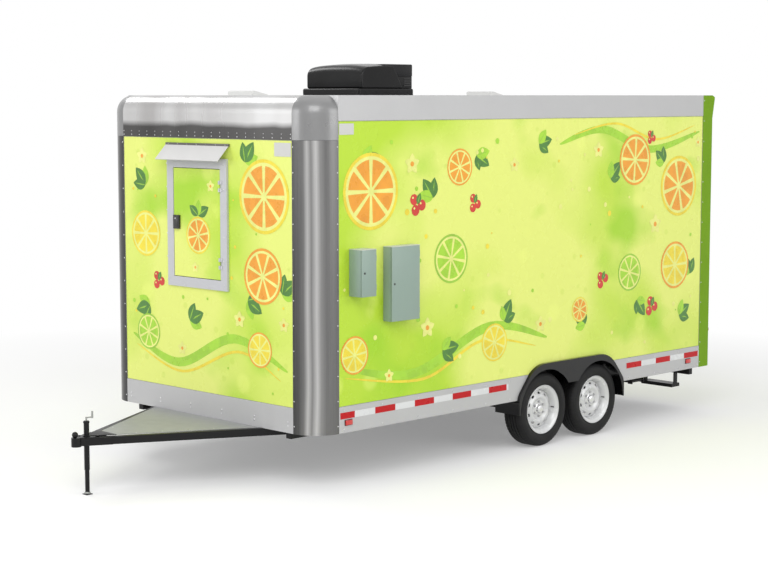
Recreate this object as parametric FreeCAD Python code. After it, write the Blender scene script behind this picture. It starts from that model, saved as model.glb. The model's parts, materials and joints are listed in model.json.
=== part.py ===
import FreeCAD, Part
import math
import os

# A tandem-axle food trailer, closed up and standing on its four wheels and its tongue jack.
#
# Millimetres. +X is the street side, +Y the rear, +Z up. Every piece is drawn with Y = 0 on
# the front face of the body and Z = 0 on the ground, and emit() then moves it along Y, so
# that the origin lies on the ground midway between the coupler's nose and the rear header.
# Each piece is written as one STEP file in parts/.

V = FreeCAD.Vector
AXIS = {"x": V(1, 0, 0), "y": V(0, 1, 0), "z": V(0, 0, 1)}

# ---------------------------------------------------------------- driving dimensions
body_width = 2590.0
body_length = 5183.0
body_bottom = 447.0
body_top = 3040.0
wall = 50.0                   # thickness of every wall panel
sheet = 5.0                   # rails and corner posts stand this far proud of the walls
corner_radius = 250.0         # plan radius of the two front corners
running_clearance = 5.0       # between a moving panel and what it closes
hinge_gap = 0.4               # between neighbouring hinge knuckles, along the pin
seat_gap = 0.3                # between pieces that rest on one another

floor_joist = 50.0            # depth of the cross-members
floor_thickness = 30.0
roof_thickness = 51.0
rail_flange = 4.0             # sheet that the top rails and the cornice lay over the roof
flange_width = 60.0

side_rail_height = 206.0
front_rail_height = 200.0
top_rail_height = 194.0
cornice_height = 340.0
cornice_radius = 140.0
rear_post_side = 150.0        # length of the rear posts along the side walls
rear_post_back = 100.0        # and along the rear wall
header_depth = 37.0
header_height = 225.0

wheel_radius = 324.0
wheel_width = 205.0
wheel_outer_x = 1285.0
rim_lip_radius = 214.0
bead_radius = 190.5
drum_radius = 105.0
axle_mid_y = 3089.0
wheel_gap = 71.0              # between the two tyres of one side

well_inner_x = 1047.0
well_outer_x = 1322.0
well_end_gap = 49.5           # between a tyre and the end of its housing
well_top_gap = 87.0           # and the housing's top
well_hang = 320.0             # lower edge of its two ends
well_sheet = 5.0
arch_gap = 32.0               # between a tyre and the arch around it
arch_rise = 208.0             # from the wheel's centre to the lowest point between the arches

tongue_reach = 1290.0         # from the body to the point where the rails' lines meet
tongue_half = 700.0           # half width of the tongue at the front wall
tongue_section = 50.0
chassis_depth = 60.0
main_rail_outer_x = 960.0
main_rail_width = 60.0
ball_radius = 25.9
coupler_radius = 38.0
coupler_y = -1276.0
deck_sheet = 4.0

jack_y = -1180.0
jack_outer_radius = 21.0
jack_leg_radius = 17.5
jack_top = 571.0

hatch_x = (-450.0, 298.0)
hatch_z = (1493.0, 2540.0)
hatch_border = 85.0
hatch_proud = 15.0
lid_thickness = 30.0

door_x = (370.0, 1130.0)
door_height = 1900.0
door_thickness = 42.0

serving_y = (1600.0, 3600.0)
serving_z = (1450.0, 2450.0)
serving_border = 45.0
serving_proud = 15.0
awning_thickness = 34.0
shelf_reach = 300.0
shelf_depth = 70.0
shelf_hinge_drop = 120.0      # shelf hinge below the sill
shelf_sheet = 3.0

# ---------------------------------------------------------------- derived places
half = body_width / 2
wall_out = half - sheet
wall_in = wall_out - wall
front_out = sheet
front_in = front_out + wall
rear_out = body_length - sheet
rear_in = rear_out - wall
corner_x = half - corner_radius
corner_in = corner_radius - sheet - wall
side_end = body_length - rear_post_side
floor_base = body_bottom + floor_joist
floor_top = floor_base + floor_thickness
roof_top = body_top - rail_flange
roof_base = roof_top - roof_thickness
cornice_base = body_top - cornice_height
chassis_base = body_bottom - chassis_depth
axle_half = wheel_radius + wheel_gap / 2
axle_y = {"front": axle_mid_y - axle_half, "rear": axle_mid_y + axle_half}
well_half = axle_half + wheel_radius + well_end_gap
well_top = 2 * wheel_radius + well_top_gap
arch_radius = wheel_radius + arch_gap
arch_dip = wheel_radius + arch_rise
wheel_mid_x = wheel_outer_x - wheel_width / 2
tongue_nose = coupler_y - coupler_radius
header_back = body_length + header_depth
origin_y = (tongue_nose + header_back) / 2


# ---------------------------------------------------------------- helpers
def box(x, y, z):
    """A box from three (low, high) pairs."""
    return Part.makeBox(x[1] - x[0], y[1] - y[0], z[1] - z[0], V(x[0], y[0], z[0]))


def cylinder(axis, start, radius, length):
    return Part.makeCylinder(radius, length, V(*start), AXIS[axis])


def place(axis, a, b, height):
    """The point at height along axis, with a and b on the other two axes in their order."""
    return {"x": V(height, a, b), "y": V(a, height, b), "z": V(a, b, height)}[axis]


def prism(axis, outline, low, high):
    """Extrudes a polygon, given on the plane across axis, from low to high along it."""
    points = [place(axis, a, b, low) for a, b in outline]
    face = Part.Face(Part.makePolygon(points + points[:1]))
    return face.extrude(AXIS[axis] * (high - low))


def mirrored(shape):
    return shape.mirror(V(0, 0, 0), AXIS["x"])


def both_sides(shape):
    return [shape, mirrored(shape)]


def fuse(*shapes):
    return shapes[0].multiFuse(list(shapes[1:])).removeSplitter()


def edges_along(shape, axis, test=lambda point: True):
    """Straight edges parallel to axis whose middle passes the test."""
    found = []
    for edge in shape.Edges:
        if isinstance(edge.Curve, Part.Line) and abs(edge.Curve.Direction.dot(AXIS[axis])) > 0.999:
            if test(edge.CenterOfMass):
                found.append(edge)
    return found


def frame_ring(x, y, z, border, axis):
    """A rectangular ring whose hole runs along axis; border is the width of its members."""
    spans = {"x": x, "y": y, "z": z}
    hole = {}
    for name, (low, high) in spans.items():
        hole[name] = (low - 1, high + 1) if name == axis else (low + border, high - border)
    return box(x, y, z).cut(box(hole["x"], hole["y"], hole["z"]))


def grown(span, amount):
    return (span[0] - amount, span[1] + amount)


def hinge(axis, a, b, middles, radius, fixed_web, moving_web, length=90.0):
    """Three-knuckle hinges on one pin line.

    a and b place the pin line across axis, and middles are the hinges' middles along it. A web
    is a pair of spans, measured from the pin line, that ties its knuckles to a leaf. Returns
    the fixed and the moving pieces: the outer two knuckles are fixed, the middle one moves.
    """
    third = length / 3
    fixed, moving = [], []
    for middle in middles:
        for index, low in enumerate((middle - length / 2, middle - third / 2, middle + third / 2)):
            group, web = (moving, moving_web) if index == 1 else (fixed, fixed_web)
            start = low + hinge_gap / 2
            knuckle = Part.makeCylinder(radius, third - hinge_gap, place(axis, a, b, start),
                                        AXIS[axis])
            spans = [(a + web[0][0], a + web[0][1]), (b + web[1][0], b + web[1][1])]
            spans.insert("xyz".index(axis), (start, start + third - hinge_gap))
            group.append(knuckle.fuse(box(*spans)).removeSplitter())
    return fixed, moving


def emit(name, *pieces):
    """Moves the pieces of one node to the trailer's frame and writes its STEP file."""
    solids = []
    for piece in pieces:
        solids += piece.Solids
    whole = solids[0] if len(solids) == 1 else Part.makeCompound(solids)
    whole.translate(V(0, -origin_y, 0))
    whole.exportStep(f"parts/{name}.step")
    print(f"{name}: {len(solids)} solids, {whole.Volume / 1e6:.2f} litres")


# ---------------------------------------------------------------- chassis
joist_width = 50.0
joist_pitch = 605.0
joist_start = 7.0              # from the front wall to the first joist


def make_main_rails():
    rail = box((main_rail_outer_x - main_rail_width, main_rail_outer_x),
               (front_in, rear_in), (chassis_base, body_bottom))
    emit("main_rails", *both_sides(rail))


def make_cross_members():
    """Joists on the main rails, shortened where the wheel housings stand."""
    joists = []
    first = front_in + joist_start
    count = int((rear_in - joist_width - first) / joist_pitch) + 1
    for index in range(count):
        low = first + index * joist_pitch
        beside_wheels = abs(low + joist_width / 2 - axle_mid_y) < well_half + joist_width
        if low < corner_radius:
            reach = corner_x
        else:
            reach = (well_inner_x if beside_wheels else wall_in) - seat_gap
        joists.append(box((-reach, reach), (low, low + joist_width), (body_bottom, floor_base)))
    emit("cross_members", *joists)


def tongue_line(y, inset=0.0):
    """X of the street rail's outer face at y, or of a line the given distance inside it."""
    slope = tongue_half / tongue_reach
    return (y + tongue_reach) * slope - inset * math.hypot(1, slope)


def tongue_y(x, inset=0.0):
    slope = tongue_half / tongue_reach
    return (x + inset * math.hypot(1, slope)) / slope - tongue_reach


tongue_start = -1150.0


def make_tongue_rails():
    """The two legs of the A-frame, each running under the floor to its main rail."""
    end = main_rail_outer_x - main_rail_width
    outline = [
        (tongue_line(tongue_start), tongue_start),
        (end, tongue_y(end)),
        (end, tongue_y(end, tongue_section)),
        (tongue_line(tongue_start, tongue_section), tongue_start),
    ]
    rail = prism("z", outline, chassis_base, body_bottom)
    emit("tongue_rail_street", rail)
    emit("tongue_rail_curb", mirrored(rail))


deck_tip = -1145.0
deck_half = 660.0


def make_tongue_deck():
    outline = [(0, deck_tip), (deck_half, -seat_gap), (-deck_half, -seat_gap)]
    emit("tongue_deck", prism("z", outline, body_bottom, body_bottom + deck_sheet))


coupler_sheet = 6.0
coupler_socket_depth = 45.0
coupler_skirt_end = -1040.0


def coupler_plate(low_y, high_y, low_z, high_z, inset):
    outline = [(tongue_line(low_y, inset), low_y), (tongue_line(high_y, inset), high_y),
               (-tongue_line(high_y, inset), high_y), (-tongue_line(low_y, inset), low_y)]
    return prism("z", outline, low_z, high_z)


def make_coupler():
    """A ball coupler whose skirts clasp the front ends of the tongue rails."""
    top = body_bottom + coupler_sheet
    base = chassis_base - 4.0
    housing = cylinder("z", (0, coupler_y, base), coupler_radius, top - base)
    dome = Part.makeSphere(24.0, V(0, coupler_y - 10.0, top + 22.0))
    neck = cylinder("z", (0, coupler_y - 10.0, top - 2.0), 12.0, 14.0)
    nose_end = coupler_y + 20.0
    plate = coupler_plate(nose_end, deck_tip - 2.0, body_bottom, top, -coupler_sheet)
    skirt = coupler_plate(nose_end, coupler_skirt_end, chassis_base, body_bottom, -coupler_sheet)
    hollow = coupler_plate(nose_end + coupler_sheet, coupler_skirt_end + 1.0, chassis_base - 1.0,
                           body_bottom, 0.0)
    gusset_low = body_bottom + deck_sheet
    gusset = prism("z", [(-30, deck_tip - 4), (30, deck_tip - 4), (120, -985), (-120, -985)],
                   gusset_low, gusset_low + coupler_sheet)
    socket = cylinder("z", (0, coupler_y, base - 1.0), ball_radius, coupler_socket_depth + 1.0)
    jack_hole = cylinder("z", (0, jack_y, base), jack_outer_radius, 100.0)
    body = fuse(housing, neck, dome, plate, skirt.cut(hollow), gusset)
    emit("coupler", body.cut(socket).cut(jack_hole))


jack_tube_base = 190.0
jack_flange_radius = 30.0
jack_foot = 28.0
jack_foot_sheet = 6.0


def make_jack():
    flange_base = body_bottom + coupler_sheet
    tube = cylinder("z", (0, jack_y, jack_tube_base), jack_outer_radius, jack_top - jack_tube_base)
    flange = cylinder("z", (0, jack_y, flange_base), jack_flange_radius, coupler_sheet)
    bore = cylinder("z", (0, jack_y, jack_tube_base - 1.0), jack_leg_radius + seat_gap,
                    jack_top - jack_tube_base - 20.0)
    emit("jack_tube", fuse(tube, flange).cut(bore))

    leg = cylinder("z", (0, jack_y, jack_foot_sheet), jack_leg_radius, 400.0)
    foot = box((-jack_foot, jack_foot), (jack_y - jack_foot, jack_y + jack_foot),
               (0, jack_foot_sheet))
    emit("jack_leg", fuse(leg, foot))

    shaft = cylinder("z", (0, jack_y, jack_top), 7.0, 30.0)
    arm = box((-4, 4), (jack_y, jack_y + 60), (jack_top + 18, jack_top + 28))
    knob = cylinder("z", (0, jack_y + 56.0, jack_top + 14.0), 8.0, 54.0)
    emit("jack_crank", fuse(shaft, arm, knob))


# ---------------------------------------------------------------- running gear
spindle_radius = 22.0
bearing_gap = 0.05
hub_inner_x = 1032.0
spindle_end_x = 1180.0
torsion_half = 35.0
torsion_offset = 130.0        # the axle tube lies this far ahead of the wheel centre
arm_x = (990.0, 1022.0)


def make_axles():
    """Rubber-torsion axles: a square tube under the rails, with trailing arms and spindles."""
    tube_top = chassis_base - 4.0
    for name, y in axle_y.items():
        tube_y = y - torsion_offset
        tube_z = tube_top - torsion_half
        tube = box((-arm_x[0], arm_x[0]), (tube_y - torsion_half, tube_y + torsion_half),
                   (tube_top - 2 * torsion_half, tube_top))
        pieces = [tube]
        for side in (1, -1):
            rail_mid = side * (main_rail_outer_x - main_rail_width / 2)
            pieces.append(box((rail_mid - 45, rail_mid + 45), grown((tube_y, tube_y), 55),
                              (tube_top, chassis_base)))
            low_x = arm_x[0] if side > 0 else -arm_x[1]
            arm_length = arm_x[1] - arm_x[0]
            pieces.append(cylinder("x", (low_x, tube_y, tube_z), 46.0, arm_length))
            pieces.append(cylinder("x", (low_x, y, wheel_radius), 38.0, arm_length))
            arm = [(tube_y, tube_z - 46), (y, wheel_radius - 38), (y, wheel_radius + 38),
                   (tube_y, tube_z + 46)]
            pieces.append(prism("x", arm, low_x, low_x + arm_length))
            start = arm_x[0] if side > 0 else -spindle_end_x
            pieces.append(cylinder("x", (start, y, wheel_radius), spindle_radius,
                                   spindle_end_x - arm_x[0]))
        emit(f"{name}_axle", fuse(*pieces))


def turned(outline, y):
    """Turns a closed (x, radius) outline about the wheel axis at y."""
    points = [V(x, y, wheel_radius + radius) for x, radius in outline]
    face = Part.Face(Part.makePolygon(points + points[:1]))
    return face.revolve(V(0, y, wheel_radius), AXIS["x"], 360)


bead_inset = 24.0             # the beads sit this far in from the tyre's sides


def mirrored_outline(outer_half):
    """Completes an (x, radius) outline that is given for the outer side of the wheel only."""
    inner_half = [(2 * wheel_mid_x - x, radius) for x, radius in reversed(outer_half)]
    return outer_half + inner_half


def make_tyre(y):
    high = wheel_outer_x
    return turned(mirrored_outline([
        (high - bead_inset, bead_radius), (high - 18, rim_lip_radius + 2), (high - 5, 236),
        (high, 262), (high - 4, 290), (high - 16, wheel_radius - 12),
        (high - 34, wheel_radius - 3), (wheel_mid_x + 20, wheel_radius)]), y)


def make_rim(y):
    """Drop-centre rim, pierced disc, hub with its cap, and the brake drum behind."""
    high = wheel_outer_x - bead_inset
    inside = bead_radius - 8
    seat = bead_radius - seat_gap
    barrel = turned(mirrored_outline([
        (high - 50, 166), (high - 8, inside), (high + 8, rim_lip_radius - 9),
        (high + 15, rim_lip_radius - 9), (high + 15, rim_lip_radius), (high + 8, rim_lip_radius),
        (high + 1, seat), (high - 12, seat), (high - 44, 174)]), y)
    disc_x = high - 50
    disc = turned([(disc_x, 0), (disc_x + 8, 0), (disc_x + 8, 70), (disc_x + 26, 100),
                   (disc_x + 26, 120), (disc_x, 168), (disc_x - 30, 168), (disc_x - 30, 160),
                   (disc_x - 8, 158), (disc_x + 18, 115), (disc_x + 18, 102), (disc_x, 76)], y)
    hub = turned([(hub_inner_x, spindle_radius + bearing_gap), (hub_inner_x, drum_radius),
                  (hub_inner_x + 70, drum_radius), (hub_inner_x + 70, 62), (disc_x + 1, 62),
                  (disc_x + 1, 35), (disc_x + 30, 35), (disc_x + 42, 27), (disc_x + 42, 0),
                  (spindle_end_x + 8, 0), (spindle_end_x + 8, spindle_radius + bearing_gap)], y)
    return fuse(barrel, disc, hub)


def make_wheels():
    for name, y in axle_y.items():
        tyre = make_tyre(y)
        rim = make_rim(y)
        emit(f"tyre_{name}_street", tyre)
        emit(f"tyre_{name}_curb", mirrored(tyre))
        emit(f"rim_{name}_street", rim)
        emit(f"rim_{name}_curb", mirrored(rim))


def well_outline(inset=0.0, base=well_hang):
    """Side outline of a wheel housing as a face across X: upright ends, broad round shoulders."""
    end = well_half - inset
    knee = well_half - 213.0 - inset * 0.6
    top = well_top - inset
    points = [V(0, axle_mid_y + a, b) for a, b in
              ((-end, base), (end, base), (end, 475.0), (knee, top), (-knee, top), (-end, 475.0))]
    return Part.Face(Part.makePolygon(points + points[:1]))


def well_prism(low_x, high_x, inset=0.0, base=well_hang):
    body = well_outline(inset, base).extrude(V(high_x - low_x, 0, 0))
    body.translate(V(low_x, 0, 0))
    shoulders = edges_along(body, "x", lambda point: point.z > well_top - inset - 1)
    knees = edges_along(body, "x", lambda point: abs(point.z - 475.0) < 1)
    return body.makeFillet(300.0 - inset, shoulders).makeFillet(150.0 - inset, knees)


def make_wheel_wells():
    """Tubs around each pair of wheels: liner, hanging ends and a face with two arches."""
    outer = well_prism(well_inner_x, well_outer_x)
    hollow = well_prism(well_inner_x + well_sheet, well_outer_x - well_sheet, well_sheet,
                        well_hang - 1)
    shell = outer.cut(hollow)
    face_x = well_outer_x - well_sheet - 1
    arches = [cylinder("x", (face_x, y, wheel_radius), arch_radius, well_sheet + 2)
              for y in axle_y.values()]
    below_dip = box((face_x, face_x + well_sheet + 2), tuple(axle_y.values()),
                    (well_hang - 2, arch_dip))
    inner_wall_low = box((well_inner_x - 1, well_inner_x + well_sheet),
                         grown((axle_mid_y, axle_mid_y), well_half - well_sheet),
                         (well_hang - 1, body_bottom))
    tub = shell.cut(arches + [below_dip, inner_wall_low]).removeSplitter()
    emit("wheel_well_street", tub)
    emit("wheel_well_curb", mirrored(tub))


def well_cutter():
    """What a wheel housing takes out of the floor and the side walls."""
    return well_prism(well_inner_x - seat_gap, well_outer_x, -seat_gap, well_hang - 100)


# ---------------------------------------------------------------- body shell
def make_floor():
    plate = box((-wall_in, wall_in), (front_in, rear_in), (floor_base, floor_top))
    corner = box((corner_x, half), (0, corner_radius), (0, body_top))
    corner = corner.cut(cylinder("z", (corner_x, corner_radius, 0), corner_in, body_top))
    cutters = []
    for cutter in (corner, rear_post(), well_cutter()):
        cutters += both_sides(cutter)
    emit("floor", plate.cut(cutters))


def make_roof():
    plate = box((-corner_x, corner_x), (cornice_radius, corner_radius), (roof_base, roof_top))
    back = box((-wall_out, wall_out), (corner_radius, side_end), (roof_base, roof_top))
    end = box((-wall_in, wall_in), (side_end, rear_in), (roof_base, roof_top))
    quarter = cylinder("z", (corner_x, corner_radius, roof_base), corner_radius - cornice_radius,
                       roof_thickness)
    quarter = quarter.common(box((corner_x, half), (0, corner_radius), (0, body_top)))
    emit("roof", fuse(plate, back, end, *both_sides(quarter)))


def make_front_wall():
    panel = box((-corner_x, corner_x), (front_out, front_in), (body_bottom, cornice_base))
    x = (hatch_x[0] + hatch_border, hatch_x[1] - hatch_border)
    z = (hatch_z[0] + hatch_border, hatch_z[1] - hatch_border)
    hole = box(grown(x, running_clearance), (-1, front_in + 1), grown(z, running_clearance))
    emit("front_wall", panel.cut(hole))


def side_panel():
    panel = box((wall_in, wall_out), (corner_radius, side_end), (body_bottom, roof_base))
    return panel.cut(well_cutter())


def make_side_walls():
    emit("street_wall", side_panel())
    hole = box((-half, -wall_in + 1), serving_y, serving_z)
    emit("curb_wall", mirrored(side_panel()).cut(hole))


def make_rear_wall():
    edge = half - rear_post_back
    panel = box((-edge, edge), (rear_in, rear_out), (body_bottom, roof_base))
    hole = box(door_x, (rear_in - 1, rear_out + 1), (floor_top, floor_top + door_height))
    emit("rear_wall", panel.cut(hole))


def make_front_posts():
    """Quarter-round posts at the two front corners, as thick as the walls they join."""
    ring = cylinder("z", (corner_x, corner_radius, body_bottom), corner_radius,
                    cornice_base - body_bottom)
    ring = ring.cut(cylinder("z", (corner_x, corner_radius, 0), corner_in, body_top))
    quarter = ring.common(box((corner_x, half), (0, corner_radius), (0, body_top)))
    emit("front_posts", *both_sides(quarter))


def cornice_band(flat):
    """Section of the cornice as points: out from the wall, over the bend and back inside.

    flat is how far the band's outer face lies from the line that it is measured from.
    """
    bend = cornice_radius
    inner = bend - sheet - wall
    mid = math.sqrt(0.5)
    top = body_top
    return [
        ("line", (flat, cornice_base), (flat, top - bend)),
        ("arc", (flat, top - bend), (flat - bend + bend * mid, top - bend + bend * mid),
         (flat - bend, top)),
        ("line", (flat - bend, top), (flat - bend, top - bend + inner)),
        ("arc", (flat - bend, top - bend + inner),
         (flat - bend + inner * mid, top - bend + inner * mid), (flat - bend + inner, top - bend)),
        ("line", (flat - bend + inner, top - bend), (flat - bend + inner, cornice_base)),
        ("line", (flat - bend + inner, cornice_base), (flat, cornice_base)),
    ]


def cornice_face(flat, to_point):
    edges = []
    for kind, *points in cornice_band(flat):
        points = [to_point(a, b) for a, b in points]
        if kind == "arc":
            edges.append(Part.Arc(*points).toShape())
        else:
            edges.append(Part.LineSegment(*points).toShape())
    return Part.Face(Part.Wire(edges))


def make_front_cornice():
    face = cornice_face(0.0, lambda a, b: V(-corner_x, -a, b))
    emit("front_cornice", face.extrude(V(2 * corner_x, 0, 0)))


def make_cornice_caps():
    """The cornice's section turned about each corner's centre line."""
    face = cornice_face(corner_radius, lambda a, b: V(corner_x + a, corner_radius, b))
    cap = face.revolve(V(corner_x, corner_radius, 0), AXIS["z"], -90)
    emit("cornice_caps", *both_sides(cap))


def make_top_rails():
    web = box((wall_out, half), (corner_radius, side_end), (body_top - top_rail_height, body_top))
    flange = box((half - flange_width, half), (corner_radius, side_end), (roof_top, body_top))
    emit("top_rails", *both_sides(fuse(web, flange)))


def make_lower_rails():
    """Skirting rails around the foot of the walls, cut out over the wheel housings."""
    side = box((wall_out, half), (corner_radius, side_end),
               (body_bottom, body_bottom + side_rail_height))
    side = side.cut(well_cutter())
    front = box((-corner_x, corner_x), (0, front_out),
                (body_bottom, body_bottom + front_rail_height))
    emit("lower_rails", front, *both_sides(side))


def rear_post():
    """The street side's rear post: an angle that wraps the corner of the side and rear walls."""
    leg = box((wall_in, half), (side_end, body_length), (body_bottom, body_top))
    back = box((half - rear_post_back, half), (rear_in, body_length), (body_bottom, body_top))
    return fuse(leg, back)


def make_rear_posts():
    emit("rear_posts", *both_sides(rear_post()))


def make_rear_header():
    """Green cap over the rear wall; its back swells out towards the roof."""
    back = body_length
    outline = [(back, body_top - header_height), (header_back, body_top - 36),
               (header_back, body_top - 16), (back, body_top)]
    swell = prism("x", outline, -half, half)
    edge = half - rear_post_back
    core = box((-edge, edge), (rear_in, back), (roof_base, body_top))
    lip = box((-edge, edge), (rear_out, back), (body_top - header_height, roof_base))
    emit("rear_header", fuse(swell, core, lip))


# ---------------------------------------------------------------- front hatch
hatch_pin = 8.0


def make_front_hatch():
    """Service hatch: a framed lid, hinged on its street side, with a visor above."""
    frame = frame_ring(hatch_x, (-hatch_proud, front_out), hatch_z,
                       hatch_border - running_clearance, "y")
    lid_x = (hatch_x[0] + hatch_border, hatch_x[1] - hatch_border)
    lid_z = (hatch_z[0] + hatch_border, hatch_z[1] - hatch_border)
    lid_face = -hatch_proud + 3.0
    lid = box(lid_x, (lid_face, lid_face + lid_thickness), lid_z)
    pin_x = lid_x[1] + running_clearance / 2
    pin_y = -hatch_proud - hatch_pin - 0.5
    web = hatch_pin + 20.0
    height = lid_z[1] - lid_z[0]
    fixed, moving = hinge("z", pin_x, pin_y, [lid_z[0] + height * k for k in (0.15, 0.85)],
                          hatch_pin,
                          ((running_clearance / 2, web), (2.0, -hatch_proud - pin_y)),
                          ((-web, -running_clearance / 2), (2.0, lid_face - pin_y)))
    emit("hatch_frame", fuse(frame, *fixed))
    emit("front_hatch", fuse(lid, *moving))

    latch = box((lid_x[0] + 4, lid_x[0] + 80), (lid_face - 22, lid_face), (1962, 2073))
    latch = latch.makeChamfer(8.0, edges_along(latch, "z", lambda p: p.y < lid_face - 20))
    emit("hatch_latch", latch)

    rail = box((hatch_x[0] - 21, hatch_x[1] + 23), (-24, front_out), (2639, 2659))
    plate = prism("x", [(-20, 2639), (-20, 2636), (-118, 2524), (-122, 2527), (-24, 2639)],
                  hatch_x[0] - 5, hatch_x[1] + 3)
    emit("hatch_visor", fuse(rail, plate))


def make_service_boxes():
    """Two electrical boxes on the street wall."""
    boxes = []
    for y, z, depth in (((363, 520), (1505, 1870), 140.0), ((735, 1050), (1280, 1870), 95.0)):
        case = box((wall_out, half + depth), y, z)
        rim = edges_along(case, "z", lambda point: point.x > half)
        boxes.append(case.makeFillet(28.0, rim))
    emit("service_boxes", *boxes)


# ---------------------------------------------------------------- roof equipment
ac_half = 350.0
ac_front = 1396.0
ac_rear = 2063.0
ac_base_height = 62.0
ac_height = 270.0


def make_air_conditioner():
    base_top = roof_top + ac_base_height
    base = box((-ac_half, ac_half), (ac_front, ac_rear), (roof_top, base_top))
    emit("ac_base", base.makeFillet(20.0, edges_along(base, "z")))

    top = body_top + ac_height
    front = ac_front + 46
    outline = [(front, base_top), (ac_rear, base_top), (ac_rear, top), (front, top)]
    shroud = prism("x", outline, -ac_half + 10, ac_half - 10)
    shroud = shroud.makeFillet(90.0, edges_along(shroud, "x", lambda p: p.z > top - 1 and
                                                 p.y < front + 1))
    sides = edges_along(shroud, "y", lambda point: point.z > top - 1)
    emit("ac_shroud", shroud.makeChamfer(60.0, sides))


vent_half = 150.0
vent_depth = 170.0


def make_roof_vents():
    """Low wedge lids, high at the front."""
    lids = []
    for y in (390.0, 3295.0):
        outline = [(y, roof_top), (y + vent_depth, roof_top), (y + vent_depth, roof_top + 8),
                   (y + 30, body_top + 36), (y, body_top + 30)]
        lids.append(prism("x", outline, -vent_half, vent_half))
    emit("roof_vents", *lids)


# ---------------------------------------------------------------- rear end
bumper_depth = 104.0
bumper_half = 1120.0


def make_rear_bumper():
    beam = box((-bumper_half, bumper_half), (rear_in, rear_out + 5),
               (body_bottom - bumper_depth, body_bottom))
    emit("rear_bumper", beam)


step_x = (580.0, 947.0)
step_z = (202.0, 236.0)


def make_rear_step():
    """A stirrup step that hangs from the bumper under the door."""
    tread = box(step_x, (rear_in - 40, header_back), step_z)
    hangers = [box(x, (rear_in, rear_out + 5), (step_z[0], body_bottom - bumper_depth))
               for x in ((step_x[0], step_x[0] + 12), (step_x[1] - 12, step_x[1]))]
    emit("rear_step", fuse(tread, *hangers))


door_pin = 9.0


def make_rear_door():
    """An entry door that swings out on its street-side edge, and its pull handle."""
    z = (floor_top + running_clearance, floor_top + door_height - running_clearance)
    panel = box(grown(door_x, -running_clearance), (rear_out - door_thickness, rear_out), z)
    pin_x = door_x[1] - running_clearance / 2
    pin_y = rear_out + door_pin + 0.5
    height = z[1] - z[0]
    web = door_pin + 26.0
    fixed, moving = hinge("z", pin_x, pin_y, [z[0] + height * k for k in (0.1, 0.5, 0.9)],
                          door_pin,
                          ((running_clearance / 2 + 0.5, web), (rear_out - pin_y, -2.0)),
                          ((-web, -running_clearance / 2 - 0.5), (rear_out - pin_y, -2.0)))
    emit("door_hinges", *fixed)
    emit("rear_door", fuse(panel, *moving))

    grip_x = door_x[0] + 75.0
    grip = [box(grown((grip_x, grip_x), 12), (rear_out + 38, rear_out + 50), (1430, 1650))]
    for post_z in (1430, 1626):
        grip.append(box(grown((grip_x, grip_x), 12), (rear_out, rear_out + 50),
                        (post_z, post_z + 24)))
    emit("door_handle", fuse(*grip))


lamp_radius = 45.0


def make_tail_lamps():
    lamp = cylinder("y", (half - rear_post_back / 2, body_length, 800), lamp_radius, 14.0)
    emit("tail_lamps", *both_sides(lamp))


# ---------------------------------------------------------------- stabiliser legs
leg_y = (4375.0, 4557.0)
leg_pin_x = 975.0
leg_pin_z = 347.0
leg_length = 315.0
leg_half = 17.0
cheek = 8.0
leg_pin_radius = 8.0


def make_stabilisers():
    """Swing-down legs near the rear, folded up flat under the floor."""
    top = chassis_base
    plate = box((main_rail_outer_x - main_rail_width - 20, leg_pin_x + 25), leg_y,
                (top - cheek, top))
    cheeks = [box((leg_pin_x - 25, leg_pin_x + 25), y, (leg_pin_z - 25, top))
              for y in ((leg_y[0], leg_y[0] + cheek), (leg_y[1] - cheek, leg_y[1]))]
    pin = cylinder("y", (leg_pin_x, leg_y[0], leg_pin_z), leg_pin_radius, leg_y[1] - leg_y[0])
    bracket = fuse(plate, *cheeks, pin)
    emit("stabiliser_brackets", *both_sides(bracket))

    width = grown(leg_y, -cheek - seat_gap)
    bar = box((leg_pin_x - leg_length, leg_pin_x), width,
              (leg_pin_z - leg_half, leg_pin_z + leg_half))
    head = cylinder("y", (leg_pin_x, width[0], leg_pin_z), leg_half, width[1] - width[0])
    foot = box((leg_pin_x - leg_length - 10, leg_pin_x - leg_length), grown(leg_y, 12),
               (leg_pin_z - 45, leg_pin_z + leg_half))
    bore = cylinder("y", (leg_pin_x, width[0] - 1, leg_pin_z), leg_pin_radius + bearing_gap,
                    width[1] - width[0] + 2)
    leg = fuse(bar, head, foot).cut(bore)
    emit("stabiliser_street", leg)
    emit("stabiliser_curb", mirrored(leg))


# ---------------------------------------------------------------- serving side
awning_pin = 8.0
window_frame = 22.0
pane = 6.0
window_member = 45.0


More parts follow.
